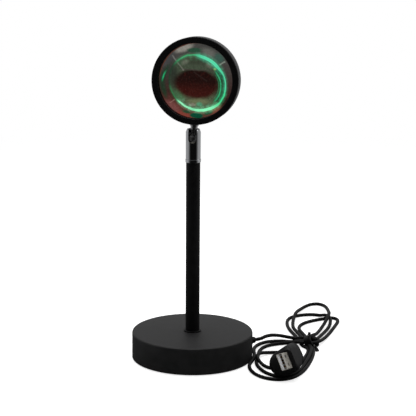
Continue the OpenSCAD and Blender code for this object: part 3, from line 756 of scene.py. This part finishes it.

# Reflections painted on the disc, in millimetres from the disc's centre with Y up:
# centre, half width and half height, tilt in degrees, softness of the edge, strength, colour
PAINTED_REFLECTIONS = [
    # painted reflection of the dim room above the ring
    (-10.6, 22.6, 6.5, 2.4, 24, 0.5, 1.0, screen(150, 145, 138)),
    (-2.8, 21.6, 5.4, 1.6, 4, 0.3, 0.9, screen(40, 80, 60)),
    (7.8, 20.6, 5.0, 2.6, -20, 0.6, 0.8, screen(110, 110, 105)),
    (15.4, 17.4, 3.8, 2.6, -42, 0.5, 0.8, screen(60, 95, 85)),
    (-21.8, 14.5, 4.0, 6.0, -32, 0.5, 0.8, screen(72, 72, 74)),
    # painted warm reflections below the ring
    (-16.6, -20.6, 6.6, 3.2, -34, 0.5, 1.0, screen(125, 75, 72)),
    (-6.3, -25.2, 5.4, 2.2, -12, 0.5, 1.0, screen(140, 66, 56)),
    (17.0, -20.0, 5.6, 2.8, 44, 0.5, 1.0, screen(130, 75, 62)),
    (8.0, -25.0, 4.6, 1.9, 16, 0.5, 0.8, screen(96, 62, 52)),
    (-5.4, -23.0, 3.2, 1.1, -8, 0.5, 0.9, screen(25, 75, 50)),
    (10.7, -22.6, 3.2, 1.2, 20, 0.5, 0.9, screen(25, 75, 50)),
    (2.0, -25.2, 4.9, 1.9, 0, 0.2, 1.0, screen(6, 78, 54)),
    (21.6, -14.8, 2.4, 4.6, -30, 0.5, 0.8, screen(30, 22, 20)),
    # painted reflected spots and glints inside the ring
    (0.0, 13.4, 6.5, 2.2, 0, 0.6, 0.7, screen(55, 60, 48)),
    (-9.0, 12.6, 2.6, 1.5, 30, 0.6, 0.7, screen(112, 112, 100)),
    (8.6, 11.6, 2.4, 1.5, -30, 0.6, 0.7, screen(110, 110, 98)),
    (2.4, -15.0, 7.4, 2.2, 4, 0.5, 0.8, screen(112, 117, 86)),
    (-1.8, -17.6, 3.0, 1.2, 0, 0.4, 0.9, screen(128, 116, 106)),
    (3.5, -16.8, 2.1, 1.5, 0, 0.4, 0.9, screen(85, 150, 115)),
    (-12.4, -11.0, 4.8, 3.0, -40, 0.7, 0.4, screen(60, 130, 84)),
    (-5.3, -6.1, 1.0, 0.8, 0, 0.5, 0.9, screen(20, 60, 36)),
    (13.1, 9.2, 0.9, 0.8, 0, 0.5, 0.9, screen(150, 175, 80)),
    (-9.8, 7.2, 0.8, 0.7, 0, 0.4, 0.8, screen(150, 150, 140)),
    # painted dark reflections at the sides inside the ring
    (-16.6, 1.0, 3.6, 9.5, 8, 0.7, 0.8, screen(40, 42, 38)),
    (15.2, -1.5, 3.0, 8.5, 0, 0.7, 0.7, screen(40, 46, 38)),
]
# Thin lines painted as reflections: both ends, half width, strength, colour
PAINTED_REFLECTED_LINES = [
    (-18.3, 16.5, -15.5, 13.2, 0.45, 0.8, screen(120, 120, 116)),
    (-14.6, 12.2, -10.7, 7.9, 0.4, 0.7, screen(120, 120, 112)),
    (16.5, 12.6, 19.5, 14.9, 0.5, 0.8, screen(140, 150, 140)),
    (-2.2, 6.0, 7.6, 0.1, 0.35, 0.5, screen(60, 46, 44)),
    (-17.8, -17.5, -14.9, -14.9, 0.4, 0.5, screen(160, 120, 112)),
]
# Colour and thickness of the painted green ring round its length:
# direction in degrees, spread, half thickness added, colour
RING_PARTS = [
    (180, 70, 0.0, screen(38, 62, 46)),
    (110, 42, 0.12, screen(70, 168, 112)),
    (62, 44, 0.85, screen(92, 222, 176)),
    (2, 56, 0.08, screen(84, 222, 170)),
    (-42, 40, 0.12, screen(66, 222, 150)),
    (-74, 40, 0.55, screen(146, 255, 196)),
    (-120, 28, 0.2, screen(156, 255, 200)),
    (-152, 24, 0.0, screen(50, 120, 74)),
]


def painted_lens_reflections():
    """The disc behind the lens: dark red with painted reflections, the green ring among them, glowing
    with its own colours as painted light.
    """
    f = Finish(bpy.data.materials.new("sunset lens with painted reflections"))
    here = f.place()
    ripple = f.noise(here, 0.16) - 0.5
    other_ripple = f.noise(here, 0.22, 1.0) - 0.5
    fine = f.noise(here, 0.6, 3.0)
    across, down, _ = here.axes()
    u = across + ripple * 0.9
    v = other_ripple * 0.8 - down

    def length(a, b):
        return (a * a + b * b).math("SQRT")

    def oval(x, y, wide, high, tilt=0.0):
        """Distance from an oval's centre, 1 on its edge."""
        c = math.cos(math.radians(tilt))
        s = math.sin(math.radians(tilt))
        a = ((u - x) * c + (v - y) * s) * (1 / wide)
        b = ((v - y) * c - (u - x) * s) * (1 / high)
        return length(a, b)

    def line(x0, y0, x1, y1):
        """Distance from a straight line between two points."""
        dx, dy = x1 - x0, y1 - y0
        share = 1 / (dx * dx + dy * dy)
        t = ((u - x0) * (dx * share) + (v - y0) * (dy * share)).clamped()
        return length(u - x0 - t * dx, v - y0 - t * dy)

    # Outside the ring: a painted grey reflection at the top, brown at the sides and warmer below
    colour = f.mix(v.rise(-14, 20), screen(62, 36, 33), screen(74, 72, 70))
    low = v.rise(-8, -20) * oval(0, 0, WINDOW_R, WINDOW_R).rise(0.68, 0.86)
    colour = f.mix(low, colour, screen(104, 58, 52))
    # Inside the ring: olive grey above, beige below
    ring = oval(RING_X, RING_Y, RING_WIDE, RING_HIGH, RING_TILT)
    grain = f.noise(here, 0.9, 4.0)
    olive = f.mix(v.rise(-3, 5), screen(82, 90, 68), screen(72, 82, 66))
    olive = f.mix(grain.rise(0.4, 0.65) * 0.3, olive, screen(44, 50, 40))
    colour = f.mix(ring.rise(1.03, 0.98), colour, olive)
    for x, y, wide, high, tilt, soft, strength, paint in PAINTED_REFLECTIONS:
        spot = oval(x, y, wide, high, tilt).rise(1 + soft, 1 - soft) * strength
        colour = f.mix(spot, colour, paint)
    # Dark red heart: the filter's red over painted shade of the dark chamber behind it, with a thin
    # painted highlight line over its flat top
    red_over_chamber_shade = (oval(0.3, -2.2, 16.2, 10.8) + ripple * 0.1).rise(1.16, 0.82) * v.rise(8.2, 6.6)
    red = f.mix(v.rise(-9, 1), screen(58, 20, 16), screen(32, 14, 12))
    red = f.mix(fine.rise(0.5, 0.7) * 0.25, red, screen(78, 24, 18))
    colour = f.mix(red_over_chamber_shade, colour, red)
    highlight_line = line(-11, 7.5, 11.5, 7.7).rise(0.7, 0.2) * 0.7
    colour = f.mix(highlight_line, colour, screen(66, 56, 54))
    for x0, y0, x1, y1, wide, strength, paint in PAINTED_REFLECTED_LINES:
        mark = line(x0, y0, x1, y1).rise(wide * 1.5, wide * 0.5) * strength
        colour = f.mix(mark, colour, paint)
    # Second ring, a painted reflection, seen inside the right of the first and outside its left
    second = oval(-3.2, -3.0, 21.4, 17.6, -8)
    on_second = (second - 1).abs()
    right = u.rise(12, 15) * v.rise(-16, -12) * v.rise(11, 7)
    between = second.rise(0.92, 1.0) * right * ring.rise(1.0, 0.97) * 0.7
    colour = f.mix(between, colour, screen(20, 72, 52))
    colour = f.mix(on_second.rise(0.035, 0.01) * right, colour, screen(50, 168, 112))
    inner_line = (second - 0.93).abs().rise(0.025, 0.008) * right * 0.6
    colour = f.mix(inner_line, colour, screen(40, 130, 86))
    left = u.rise(-19, -22)
    colour = f.mix(on_second.rise(0.16, 0.02) * left * 0.7, colour, screen(20, 62, 42))
    bright = left * v.near(1.6, 5)
    colour = f.mix(on_second.rise(0.035, 0.01) * bright, colour, screen(40, 188, 120))
    speckle = f.noise(here, 1.3, 3.0).rise(0.42, 0.66) * 0.22
    colour = f.mix(speckle, colour, screen(24, 24, 22))
    # The green ring itself, a painted reflection, with a painted soft glow round it
    angle = (v - RING_Y).math("ARCTAN2", u - RING_X)
    thick = RING_LINE
    green = screen(44, 96, 64)
    for direction, spread, more, paint in RING_PARTS:
        turn = (angle - math.radians(direction)).math("COSINE")
        there = turn.rise(math.cos(math.radians(spread)), 1)
        thick = there * more + thick
        green = f.mix(there, green, paint)
    away = ((ring - 1) * ((RING_WIDE + RING_HIGH) / 2) + (thick - RING_LINE)).abs()
    glow = (thick * 2 - away).rise(-1.6, 0.8) * (fine.rise(0.3, 0.7) * 0.2 + 0.12)
    colour = f.mix(glow, colour, green)
    colour = f.mix((thick - away).rise(-0.3, 0.3), colour, green)
    # Faint lines that run with the ring inside it
    lines = ((ring + ripple * 0.02) * 160).math("SINE").rise(0.1, 0.9)
    inner = ring.rise(0.74, 0.84) * ring.rise(1.0, 0.95) * fine.rise(0.35, 0.65)
    colour = f.mix(lines * inner * 0.3, colour, green)
    # Brown edge at the upper left, a painted reflection where the disc sits in its gasket
    gasket = oval(0, 0, WINDOW_R - 0.4, WINDOW_R - 0.4).rise(0.985, 1.0)
    edge = gasket * u.rise(4, -10) * v.rise(-4, 8)
    colour = f.mix(edge, colour, screen(92, 56, 46))
    # The painted colours also shine as emission, so the disc glows as painted light
    return f.surface(
        f.principled(
            colour, 0.22 + fine * 0.1, Specular_IOR_Level=0.2, Emission_Color=colour,
            Emission_Strength=1.0,
        )
    )


def clear_lens():
    """Clear glass that shows what is behind it and mirrors the lights."""
    f = Finish(bpy.data.materials.new("lens_glass"))
    gloss = 0.06 + f.noise(f.place(), 0.3) * 0.05
    facing = f.node("ShaderNodeFresnel", {"IOR": 1.45})
    glass = f.node("ShaderNodeBsdfTransparent", {"Color": rgb((0.94, 0.95, 0.94))})
    shine = f.node("ShaderNodeBsdfGlossy", {"Color": rgb((0.9, 0.92, 0.9)), "Roughness": gloss})
    return f.surface(f.blend(facing, glass, shine))


def lens_mesh(steps=24):
    """A lens with a domed front, set back a little in the ring, and a flat back."""
    sphere_r = (DOME_R**2 + DOME_HIGH**2) / (2 * DOME_HIGH)
    line = []
    for k in range(steps + 1):
        r = DOME_R * k / steps
        line.append((r, LENS_FRONT + sphere_r - math.sqrt(sphere_r**2 - r * r), 0))
    rim = LENS_FRONT + DOME_HIGH
    line += [(LENS_R, rim, 0.1), (LENS_R, LENS_BACK, 0.2), (0, LENS_BACK, 0)]
    return lathe(line, 192, False)


piece("lens_glass", lens_mesh(), IN_HEAD, "head", clear_lens(), ["lens"])
piece(
    "disc_with_painted_reflections",
    lathe(
        [
            (0, DISC_FRONT, 0), (LENS_R, DISC_FRONT, 0.2), (LENS_R, DISC_BACK, 0.2),
            (0, DISC_BACK, 0),
        ],
        192, False,
    ),
    IN_HEAD, "head", painted_lens_reflections(), ["filter_disc"],
)

# ---- Plug ----

# The metal shell: half width and half height, length and wall
SHELL_X = 6
SHELL_Z = 2.25
SHELL_LONG = 14
SHELL_WALL = 0.3
# The ribbed sleeve behind the grip
SLEEVE_START = 38.4
SLEEVE_END = 45
RIBS = 4
RIB_PITCH = 1.5
# The grip, with the two round corners of its flat side
GRIP_SIDES = 96
GRIP_CORNER_R = 4.0
GRIP_CORNER_Z = 1.6
# Sections of the grip: distance from the plug's mouth, middle and radius of the round side,
# left and right reach of the broad flat side, height of the round side's middle
GRIP_SLICES = [
    (PLUG_ROOT, 0.8, 6.8, -7.6, 6.6, -4.2),
    (12.5, 0.7, 7.4, -8.2, 7.2, -4.5),
    (13.4, 0.5, 8.5, -9.5, 8.5, -4.9),
    (14.7, 0.4, 9.2, -10.4, 9.4, -5.1),
    (18.0, 0.2, 9.1, -10.7, 9.1, -5.0),
    (24.0, 0.0, 8.4, -11.2, 8.2, -4.4),
    (30.0, -0.4, 7.5, -11.7, 7.0, -3.8),
    (35.3, -1.0, 6.6, -12.0, 6.0, -3.2),
    (37.0, -1.0, 6.0, -11.3, 5.4, -3.0),
    (38.2, -1.0, 5.1, -10.0, 4.6, -3.0),
    (39.0, -1.0, 3.7, -7.6, 3.4, -3.0),
]


def evened(ring):
    """As many points as the closed ring has, but evenly spaced along it."""
    count = len(ring)
    gaps = [(ring[(i + 1) % count] - ring[i]).length for i in range(count)]
    even = []
    walked = 0.0
    i = 0
    for k in range(count):
        target = sum(gaps) * k / count
        while walked + gaps[i % count] < target:
            walked += gaps[i % count]
            i += 1
        t = (target - walked) / max(gaps[i % count], 1e-9)
        even.append(ring[i % count].lerp(ring[(i + 1) % count], t))
    return even


def grip_section(round_x, round_r, left, right, round_z):
    """A band drawn tight round three circles: the round side and two corners of the flat side."""
    circles = [
        (round_x, round_z, round_r),
        (left + GRIP_CORNER_R, GRIP_CORNER_Z, GRIP_CORNER_R),
        (right - GRIP_CORNER_R, GRIP_CORNER_Z, GRIP_CORNER_R),
    ]
    ring = []
    for c, s in around(GRIP_SIDES):
        x, z, r = max(circles, key=lambda circle: circle[0] * c + circle[1] * s + circle[2])
        ring.append(Vector((x + r * c, z + r * s)))
    return evened(ring)


def grip_mesh():
    """A moulded grip, rounded on one side and flat on its broad other side."""
    work = bmesh.new()
    rings = [
        [work.verts.new((p.x * MM, y * MM, p.y * MM)) for p in grip_section(*sizes)]
        for y, *sizes in GRIP_SLICES
    ]
    skin(work, rings)
    work.faces.new(rings[-1])
    # Front face, with the mouth that the metal shell sits in
    x, z = SHELL_X + 0.05, SHELL_Z + 0.05
    corners = [(x, -z), (x, z), (-x, z), (-x, -z)]
    mouth, deep = (
        [work.verts.new((a * MM, y * MM, b * MM)) for a, b in corners]
        for y in (PLUG_ROOT, SHELL_LONG)
    )
    skin(work, [mouth, deep])
    work.faces.new(deep)
    rims = [
        work.edges.get((ring[k - 1], ring[k])) for ring in (rings[0], mouth) for k in range(len(ring))
    ]
    bmesh.ops.triangle_fill(work, edges=rims, use_beauty=True)
    return sharpened(as_mesh(work, "grip"), 40)


def relief_mesh():
    """The ribbed sleeve where the cord leaves the plug."""
    bore = CORD_R - 0.1
    line = [(bore, SLEEVE_START, 0), (3.4, SLEEVE_START, 0.1)]
    for i in range(RIBS):
        z = SLEEVE_START + 0.8 + i * RIB_PITCH
        r = 3.3 - i * 0.28
        line += [(r, z, 0.15), (r - 0.1, z + 0.8, 0.15)]
        line += [(r - 0.55, z + 0.85, 0.1), (r - 0.6, z + 1.4, 0.1)]
    line += [(1.9, SLEEVE_END, 0.3), (bore, SLEEVE_END, 0)]
    mesh = lathe(line, 64)
    mesh.transform(turned("X", -90))
    return mesh


def shell_mesh():
    """Folded sheet round the plug's mouth, with two square windows in each broad side."""
    x, z = SHELL_X - SHELL_WALL, SHELL_Z - SHELL_WALL
    outer = slab((-SHELL_X, 0, -SHELL_Z), (SHELL_X, SHELL_LONG, SHELL_Z), 0.45, 3)
    hollow = slab((-x, -1, -z), (x, SHELL_LONG + 1, z), 0.25)
    windows = [slab((at - 1.2, 5.2, -4), (at + 1.2, 7.6, 4)) for at in (-3, 3)]
    seam = slab((-0.06, -1, 2.1), (0.06, SHELL_LONG + 1, 2.6))
    return carved(outer, [("DIFFERENCE", tool) for tool in (hollow, *windows, seam)])


def tongue_mesh():
    """The plastic block that fills one half of the shell."""
    x, z = SHELL_X - SHELL_WALL - 0.02, SHELL_Z - SHELL_WALL - 0.02
    return slab((-x, 0.3, -z), (x, SHELL_LONG, -0.08), 0.15)


def contacts_mesh():
    """Four flat contacts on the tongue."""
    return combined(
        *[slab((x - 0.55, 1, -0.08), (x + 0.55, 12, 0.07), 0.05) for x in (-3.5, -1, 1, 3.5)]
    )


grip = piece(
    "plug_grip", grip_mesh(), GRIP_PLACE, "base", grip_rubber, ["usb_grip"]
)
relief = piece("cord_sleeve", relief_mesh(), GRIP_PLACE, "base", grip_rubber)
shell = piece("plug_shell", shell_mesh(), SHELL_PLACE, "base", tin, ["usb_shell"])
tongue = piece(
    "plug_tongue", tongue_mesh(), SHELL_PLACE, "base", plug_white, ["usb_tongue"]
)
contacts = piece(
    "plug_contacts", contacts_mesh(), SHELL_PLACE, "base", gold, ["usb_contacts"]
)

# ---- Cord ----

# The grommet, with distances from the base's middle
GROMMET_BORE_R = 1.3
GROMMET_IN = 41.5
GROMMET_OUT = 48.3
FLANGE_R = 4.2
FLANGE_BACK = base_inner_r - 0.2
NECK_R = 3.2
LIP = BASE_R + 0.02
# The tie's strap, and half the width and height of the bundle that it is drawn round
STRAP_WIDE = 4.0
STRAP_THICK = 0.8
BUNDLE_WIDE = 5.3
BUNDLE_HIGH = 4.75

grommet = piece(
    "grommet",
    lathe(
        [
            (GROMMET_BORE_R, GROMMET_IN, 0), (FLANGE_R, GROMMET_IN + 0.4, 0.2),
            (FLANGE_R, FLANGE_BACK, 0), (NECK_R, FLANGE_BACK, 0), (NECK_R, LIP, 0),
            (3.6, LIP, 0.1), (3.3, 45.9, 0.3), (2.6, 46.0, 0.1), (2.1, GROMMET_OUT, 0.25),
            (GROMMET_BORE_R, GROMMET_OUT, 0.05),
        ],
        72,
    ),
    AT_EXIT, "base", rubber, ["cord_grommet"],
)

# The cord runs from the grommet through the tie into a far loop, and by turns through the tie
# into a near and a far loop, until its last near loop ends at the plug.
CORD_ROUTE = [
    # from the grommet to the tie
    (45.7, 15.7, 10.5), (49.5, 17.1, 11.1), (52.9, 20.7, 11.8), (56, 25.6, 11.3), (59.4, 31, 9.9),
    (62.8, 36.1, 8.1), (66.1, 40.2, 6.3), (69.9, 42.8, 4.9), (74, 43.6, 4.3), (78, 42.4, 5.1),
    (81.9, 41.3, 6.1), (85.3, 42.9, 6.8), (87.2, 46.8, 6.5), (88, 52.5, 5.2), (88.6, 60, 3.4),
    # large far loop
    (89.8, 71, 2), (91.4, 81, 2.2), (93.5, 89.5, 4.1), (95, 97, 6), (95.5, 104, 6.6),
    (95.3, 111, 5.8), (94.9, 118, 3.6), (94.2, 125, 1.9), (93.2, 132, 1.2), (91.4, 139.5, 1.2),
    (88.2, 146.2, 1.2), (83.3, 149.6, 1.2), (78, 147.4, 1.2), (73.9, 141, 1.2), (70.9, 132, 1.5),
    (69.2, 122, 2.7), (68.4, 114, 3.7), (67.9, 107, 3.6), (67.5, 99, 2.4), (67.8, 90, 1.5),
    (69.2, 80, 1.2), (72.2, 71, 1.2), (75.5, 62, 1.2), (78.6, 53, 1.2), (80.9, 46, 1.3),
    (82.6, 39.4, 1.3),
    # middle near loop
    (84.2, 34, 2), (86.1, 29, 3.2), (87.5, 23, 3.5), (87.9, 16, 3.4), (87.6, 8, 3.2), (86.9, 0, 2.9),
    (85.6, -8, 2.1), (84.1, -17, 1.3), (81.8, -25.5, 1.2), (78.3, -32.3, 1.2), (74, -36.8, 1.2),
    (69.5, -38.6, 1.2), (64.8, -37.4, 1.2), (60.5, -34, 1.2), (56.3, -28.8, 1.2), (52.6, -21.5, 1.2),
    (50.1, -14, 1.2), (49.05, -7, 1.2), (48.9, 0, 1.2), (48.9, 8, 1.2), (48.7, 14, 1.2),
    (49.2, 20, 1.2), (50.8, 26, 1.2), (53.6, 31, 1.2), (57.5, 34.6, 1.2), (62, 37.4, 1.2),
    (66.8, 38.9, 1.5), (71.5, 38.4, 2.3), (75.8, 36.6, 3.4), (80.2, 34.8, 4), (85, 34.2, 4.1),
    # right far loop
    (89.3, 35.8, 4), (92.5, 42, 3.4), (95, 52.5, 2.2), (97.9, 68.5, 1.2), (100.5, 84, 1.2),
    (102.1, 95, 1.2), (102.8, 102, 1.2), (102.1, 107.6, 1.2), (99.2, 111, 1.2), (94.9, 111, 1.2),
    (90.8, 108, 1.2), (86.2, 104.4, 1.2), (81.6, 100.2, 1.2), (77, 94.3, 1.2), (74.3, 88, 1.2),
    (73.5, 81, 1.2), (74.6, 74.5, 1.2), (77.3, 67, 1.2), (80.6, 58, 1.2), (83.2, 49, 1.3),
    (85, 40.8, 1.3),
    # outer near loop
    (87, 34.2, 1.3), (88.8, 28, 1.2), (89.5, 21, 1.2), (89.6, 14, 1.2), (89.3, 6, 1.2),
    (88.2, -7, 1.2), (86.7, -18, 1.2), (84.6, -27, 1.2), (81.7, -35, 1.2), (78.4, -40.4, 1.2),
    (74.4, -43.9, 1.2), (70.2, -45.6, 1.2), (65.8, -45.8, 1.2), (61.4, -44.7, 1.2),
    (57.2, -42.3, 1.2), (53.6, -39, 1.2), (50, -34, 1.2), (46.9, -27, 1.2), (45.3, -20, 1.2),
    (45.1, -13.5, 1.2), (46, -7, 1.3), (46.45, 0, 1.5), (46.1, 7, 1.8), (44.9, 14, 2),
    (44.4, 20.5, 2), (45.6, 28, 1.9), (48.7, 35, 1.7), (53, 40, 1.5), (58.8, 43.2, 1.3),
    (64.4, 44.1, 1.3), (69.3, 43.2, 1.4), (73.2, 41.6, 2.4), (76.6, 39.8, 3.6), (80, 38.6, 4),
    (83.3, 38.2, 4.4),
    # middle far loop
    (86.8, 39.3, 4.3), (89.7, 43.8, 4.1), (91.3, 53, 3), (93.2, 65.5, 1.8), (95, 76, 1.2),
    (96.6, 85, 1.3), (97.3, 92, 2.1), (97.2, 98, 3.3), (96.2, 103.5, 3.9), (93.9, 108.9, 3.8),
    (91, 113.2, 2.8), (87.4, 116.4, 1.5), (82.8, 118.2, 1.2), (77.3, 117.5, 1.2),
    (72.3, 115.2, 1.2), (67.8, 111.5, 1.2), (64.4, 106.5, 1.2), (62.8, 99, 1.2), (63.2, 90, 1.2),
    (65.1, 80, 1.2), (68, 70.5, 1.2), (71.6, 61.5, 1.2), (74.8, 52.5, 1.2), (77, 44.5, 1.3),
    (78.6, 38.5, 1.3),
    # inner near loop and the plug
    (80.7, 34, 1.3), (83.4, 30.7, 1.3), (85, 26.2, 1.2), (85.2, 18, 1.2), (84.2, 9, 1.2),
    (83.2, -1, 1.2), (81.9, -8.5, 1.2), (79.6, -13.4, 1.2), (75.8, -16.2, 1.2), (71.4, -17.9, 1.2),
    (67, -19.9, 1.2), (63, -21.4, 1.2), (59.1, -20.6, 1.4), (55.6, -17.8, 1.9), (52.5, -13.2, 2.7),
    (50.3, -7.8, 3.4), (49.5, -2, 3.6), (49.8, 3.5, 3.5), (51.7, 8.8, 2.6), (55.6, 12.8, 1.7),
    (60.3, 14.6, 1.5), (65.5, 13.2, 2.1), (70.6, 9.6, 3.2), (75.2, 4.4, 4.3), (78.6, -2, 5.3),
    (81.7, -9.8, 6.4), (80.8, -14.6, 7.6),
]


def cord_curve(points):
    """A round cord through the points, and its length in metres."""
    line = smooth_path(points)
    curve = bpy.data.curves.new("cord", "CURVE")
    curve.dimensions = "3D"
    curve.bevel_depth = CORD_R * MM
    curve.bevel_resolution = 5
    curve.use_fill_caps = True
    curve.materials.append(rubber)
    spline = curve.splines.new("POLY")
    spline.points.add(len(line) - 1)
    for point, p in zip(spline.points, line):
        point.co = (p.x * MM, p.y * MM, (p.z + CORD_LIFT) * MM, 1)
    length = sum((b - a).length for a, b in zip(line, line[1:])) * MM
    return curve, length


curve, cord_length = cord_curve(CORD_ROUTE)
cord = linked("cord", curve)
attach(cord, "base")
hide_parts("cord_lead", "cord_hank", "cord_tail")


def strip_section(wide, thick, flat):
    """The six corners of a flat strip's section, flat over this share of its width."""
    x, z = wide / 2, thick / 2
    return [(-x * flat, -z), (x * flat, -z), (x, 0), (x * flat, z), (-x * flat, z), (-x, 0)]


def strap_mesh(centre, lean):
    """One turn of a flat strap drawn round the bundle and slanting over it."""
    across, up = Vector((0.35, 1, 0)).normalized(), Vector((lean, 0.05, 0.9)).normalized()
    along = across.cross(up)
    work = bmesh.new()
    rings = []
    for c, s in around(72):
        out = across * (c * BUNDLE_WIDE) + up * (s * BUNDLE_HIGH)
        mid = Vector(centre) + out
        mid.z = max(mid.z, 0.5)
        normal = out.normalized()
        ring = []
        for x, z in strip_section(STRAP_WIDE, STRAP_THICK, 0.95):
            p = mid + along * x + normal * z
            p.z = max(p.z, 0.12)
            ring.append(work.verts.new(p * MM))
        rings.append(ring)
    skin(work, rings, True)
    return sharpened(as_mesh(work, "strap"), 50)


def strap_end(points, wide):
    """A flat strip along (point, side) pairs, its width turning from the first side to the last."""
    line = smooth_path([p for p, _ in points], 0.4)
    first, last = Vector(points[0][1]), Vector(points[-1][1])
    work = bmesh.new()
    rings = []
    for i, p in enumerate(line):
        t = i / (len(line) - 1)
        along = (line[min(i + 1, len(line) - 1)] - line[max(i - 1, 0)]).normalized()
        side = first.lerp(last, t)
        side = (side - along * side.dot(along)).normalized()
        up = along.cross(side)
        narrowed = wide * (1 - 0.25 * t**6)
        section = strip_section(narrowed, 0.7, 0.9)
        rings.append([work.verts.new((p + side * x + up * z) * MM) for x, z in section])
    skin(work, rings)
    work.faces.new(rings[0])
    work.faces.new(rings[-1])
    return sharpened(as_mesh(work, "strap end"), 50)


def tie_mesh():
    """A strap wound twice round the bundle, with its knot and two ends."""
    first_turn = strap_mesh((85.2, 37.2, 4.5), -0.42)
    second_turn = strap_mesh((87.6, 36.4, 4.5), -0.58)
    knot_line = [(0, 0, 0), (1.9, 0.2, 0.8), (2.5, 2.6, 1.2), (2.1, 5.4, 0.9), (0, 5.8, 0)]
    knot = lathe(knot_line, 32, False)
    knot.transform(moved(84.6, 38.4, 7.4) @ turned("Z", 20) @ turned("Y", 118))
    top_end = strap_end([((84.3, 38.5, 8.6), (1, 0.3, 0)), ((84.9, 40, 10.9), (1, 0, 0))], 2.2)
    low_end = strap_end(
        [
            ((88.6, 33.2, 1.4), (0.3, 0.2, 1)), ((90.6, 29.5, 1.2), (0.7, 0.3, 0.6)),
            ((92.3, 25.6, 0.75), (1, 0.3, 0.1)),
        ],
        3.0,
    )
    return combined(first_turn, second_turn, knot, top_end, low_end)


def wire_mesh():
    """The cut end of the wire inside the tie."""
    mesh = rod(0.62, 0, 1.3, sides=24)
    mesh.transform(moved(89.0, 32.4, 3.1) @ turned("Z", 14) @ turned("X", 84))
    return mesh


tie = piece("cord_strap", tie_mesh(), STANDING, "base", tie_wrap, ["cord_tie"])
tie_wire = piece("strap_wire", wire_mesh(), STANDING, "base", wire_end)

# ---- Camera, lights and stage, in metres ----

CAMERA_AT = (0.1687, -1.1533, 0.386)
CAMERA_TURN = 7.78
CAMERA_DOWN = 13.11
CAMERA_ROLL = 0.39
# Where the camera stands, seen from above, and how bright the room is to different rays
SEEN_FROM = (0.145, -0.989)
SIDE_GLOW = 0.5
DARK_GLOW = 0.006
NEAR_GLOW = 0.68
CEILING_GLOW = 0.3
ROOM_LIGHT = 0.22

camera = linked("camera", bpy.data.cameras.new("camera"))
camera.data.lens = 141
camera.data.sensor_width = 36
camera.data.clip_start = 0.01
camera.matrix_world = (
    Matrix.Translation(CAMERA_AT)
    @ turned("Z", CAMERA_TURN)
    @ turned("X", 90 - CAMERA_DOWN)
    @ turned("Z", CAMERA_ROLL)
)
bpy.context.scene.camera = camera


def soft_light(name, at, to, size, power, mirrored=False):
    """A flat lamp that faces a point. Shiny pieces show it only if it is to be mirrored."""
    light = bpy.data.lights.new(name, "AREA")
    light.shape = "RECTANGLE"
    light.size, light.size_y = size
    light.energy = power
    thing = linked(name, light)
    facing = (Vector(to) - Vector(at)).to_track_quat("-Z", "Y").to_matrix().to_4x4()
    thing.matrix_world = Matrix.Translation(at) @ facing
    thing.visible_glossy = mirrored


soft_light("overhead", (0.0, 0.1, 1.2), (0, 0, 0), (1.1, 0.8), 9, True)
soft_light("left side", (-0.95, 0.1, 0.55), (0, 0, 0.12), (0.35, 0.8), 1.6)
soft_light("right side", (0.75, 0.1, 0.75), (0, 0, 0.2), (0.35, 0.5), 1.2, True)


def side_light(facing):
    """Brightness that shiny parts mirror: dark round the camera, bright from the sides on."""
    return DARK_GLOW + facing.rise(0.72, -0.05) * SIDE_GLOW


def white_floor():
    """A white table that keeps the object's soft shadow. Far off it is as white as the room."""
    f = Finish(bpy.data.materials.new("white table"))
    seen = f.ray("Camera")
    place = f.place()
    x, y, _ = place.axes()
    away = (x * x + y * y).math("SQRT")
    white = f.mix(f.noise(place, 0.02), (0.8, 0.8, 0.8), (0.83, 0.83, 0.83))
    table = f.principled(white, 0.9, Specular_IOR_Level=0.0)
    near = f.node("ShaderNodeAddShader", {0: table, 1: f.glow(seen * NEAR_GLOW)})
    shown = f.blend(away.rise(330, 900) * seen, near, f.glow(1.0))
    facing = (x * SEEN_FROM[0] + y * SEEN_FROM[1]) / (away + 20)
    mirrored = side_light(facing) * (0.15 + away.rise(90, 430) * 0.85)
    return f.surface(f.blend(f.ray("Glossy"), shown, f.glow(mirrored)))


def white_room():
    """White to the camera; shiny pieces mirror a studio that is dark round the camera."""
    f = Finish(bpy.data.worlds.new("studio"))
    x, y, z = f.node("ShaderNodeTexCoord", {}, "Generated").axes()
    seen = f.ray("Camera")
    glossy = f.ray("Glossy")
    studio = side_light(x * SEEN_FROM[0] + y * SEEN_FROM[1]) + z.rise(0.5, 0.9) * CEILING_GLOW
    strength = seen + (1 - seen) * (glossy * studio + (1 - glossy) * ROOM_LIGHT)
    light = f.node("ShaderNodeBackground", {"Color": rgb(WHITE), "Strength": strength})
    return f.surface(light, "ShaderNodeOutputWorld")


work = bmesh.new()
bmesh.ops.create_grid(work, x_segments=8, y_segments=8, size=4.0)
floor = linked("table top", as_mesh(work, "table top"))
floor.data.materials.append(white_floor())
bpy.context.scene.world = white_room()
bpy.context.scene.view_settings.view_transform = "Standard"
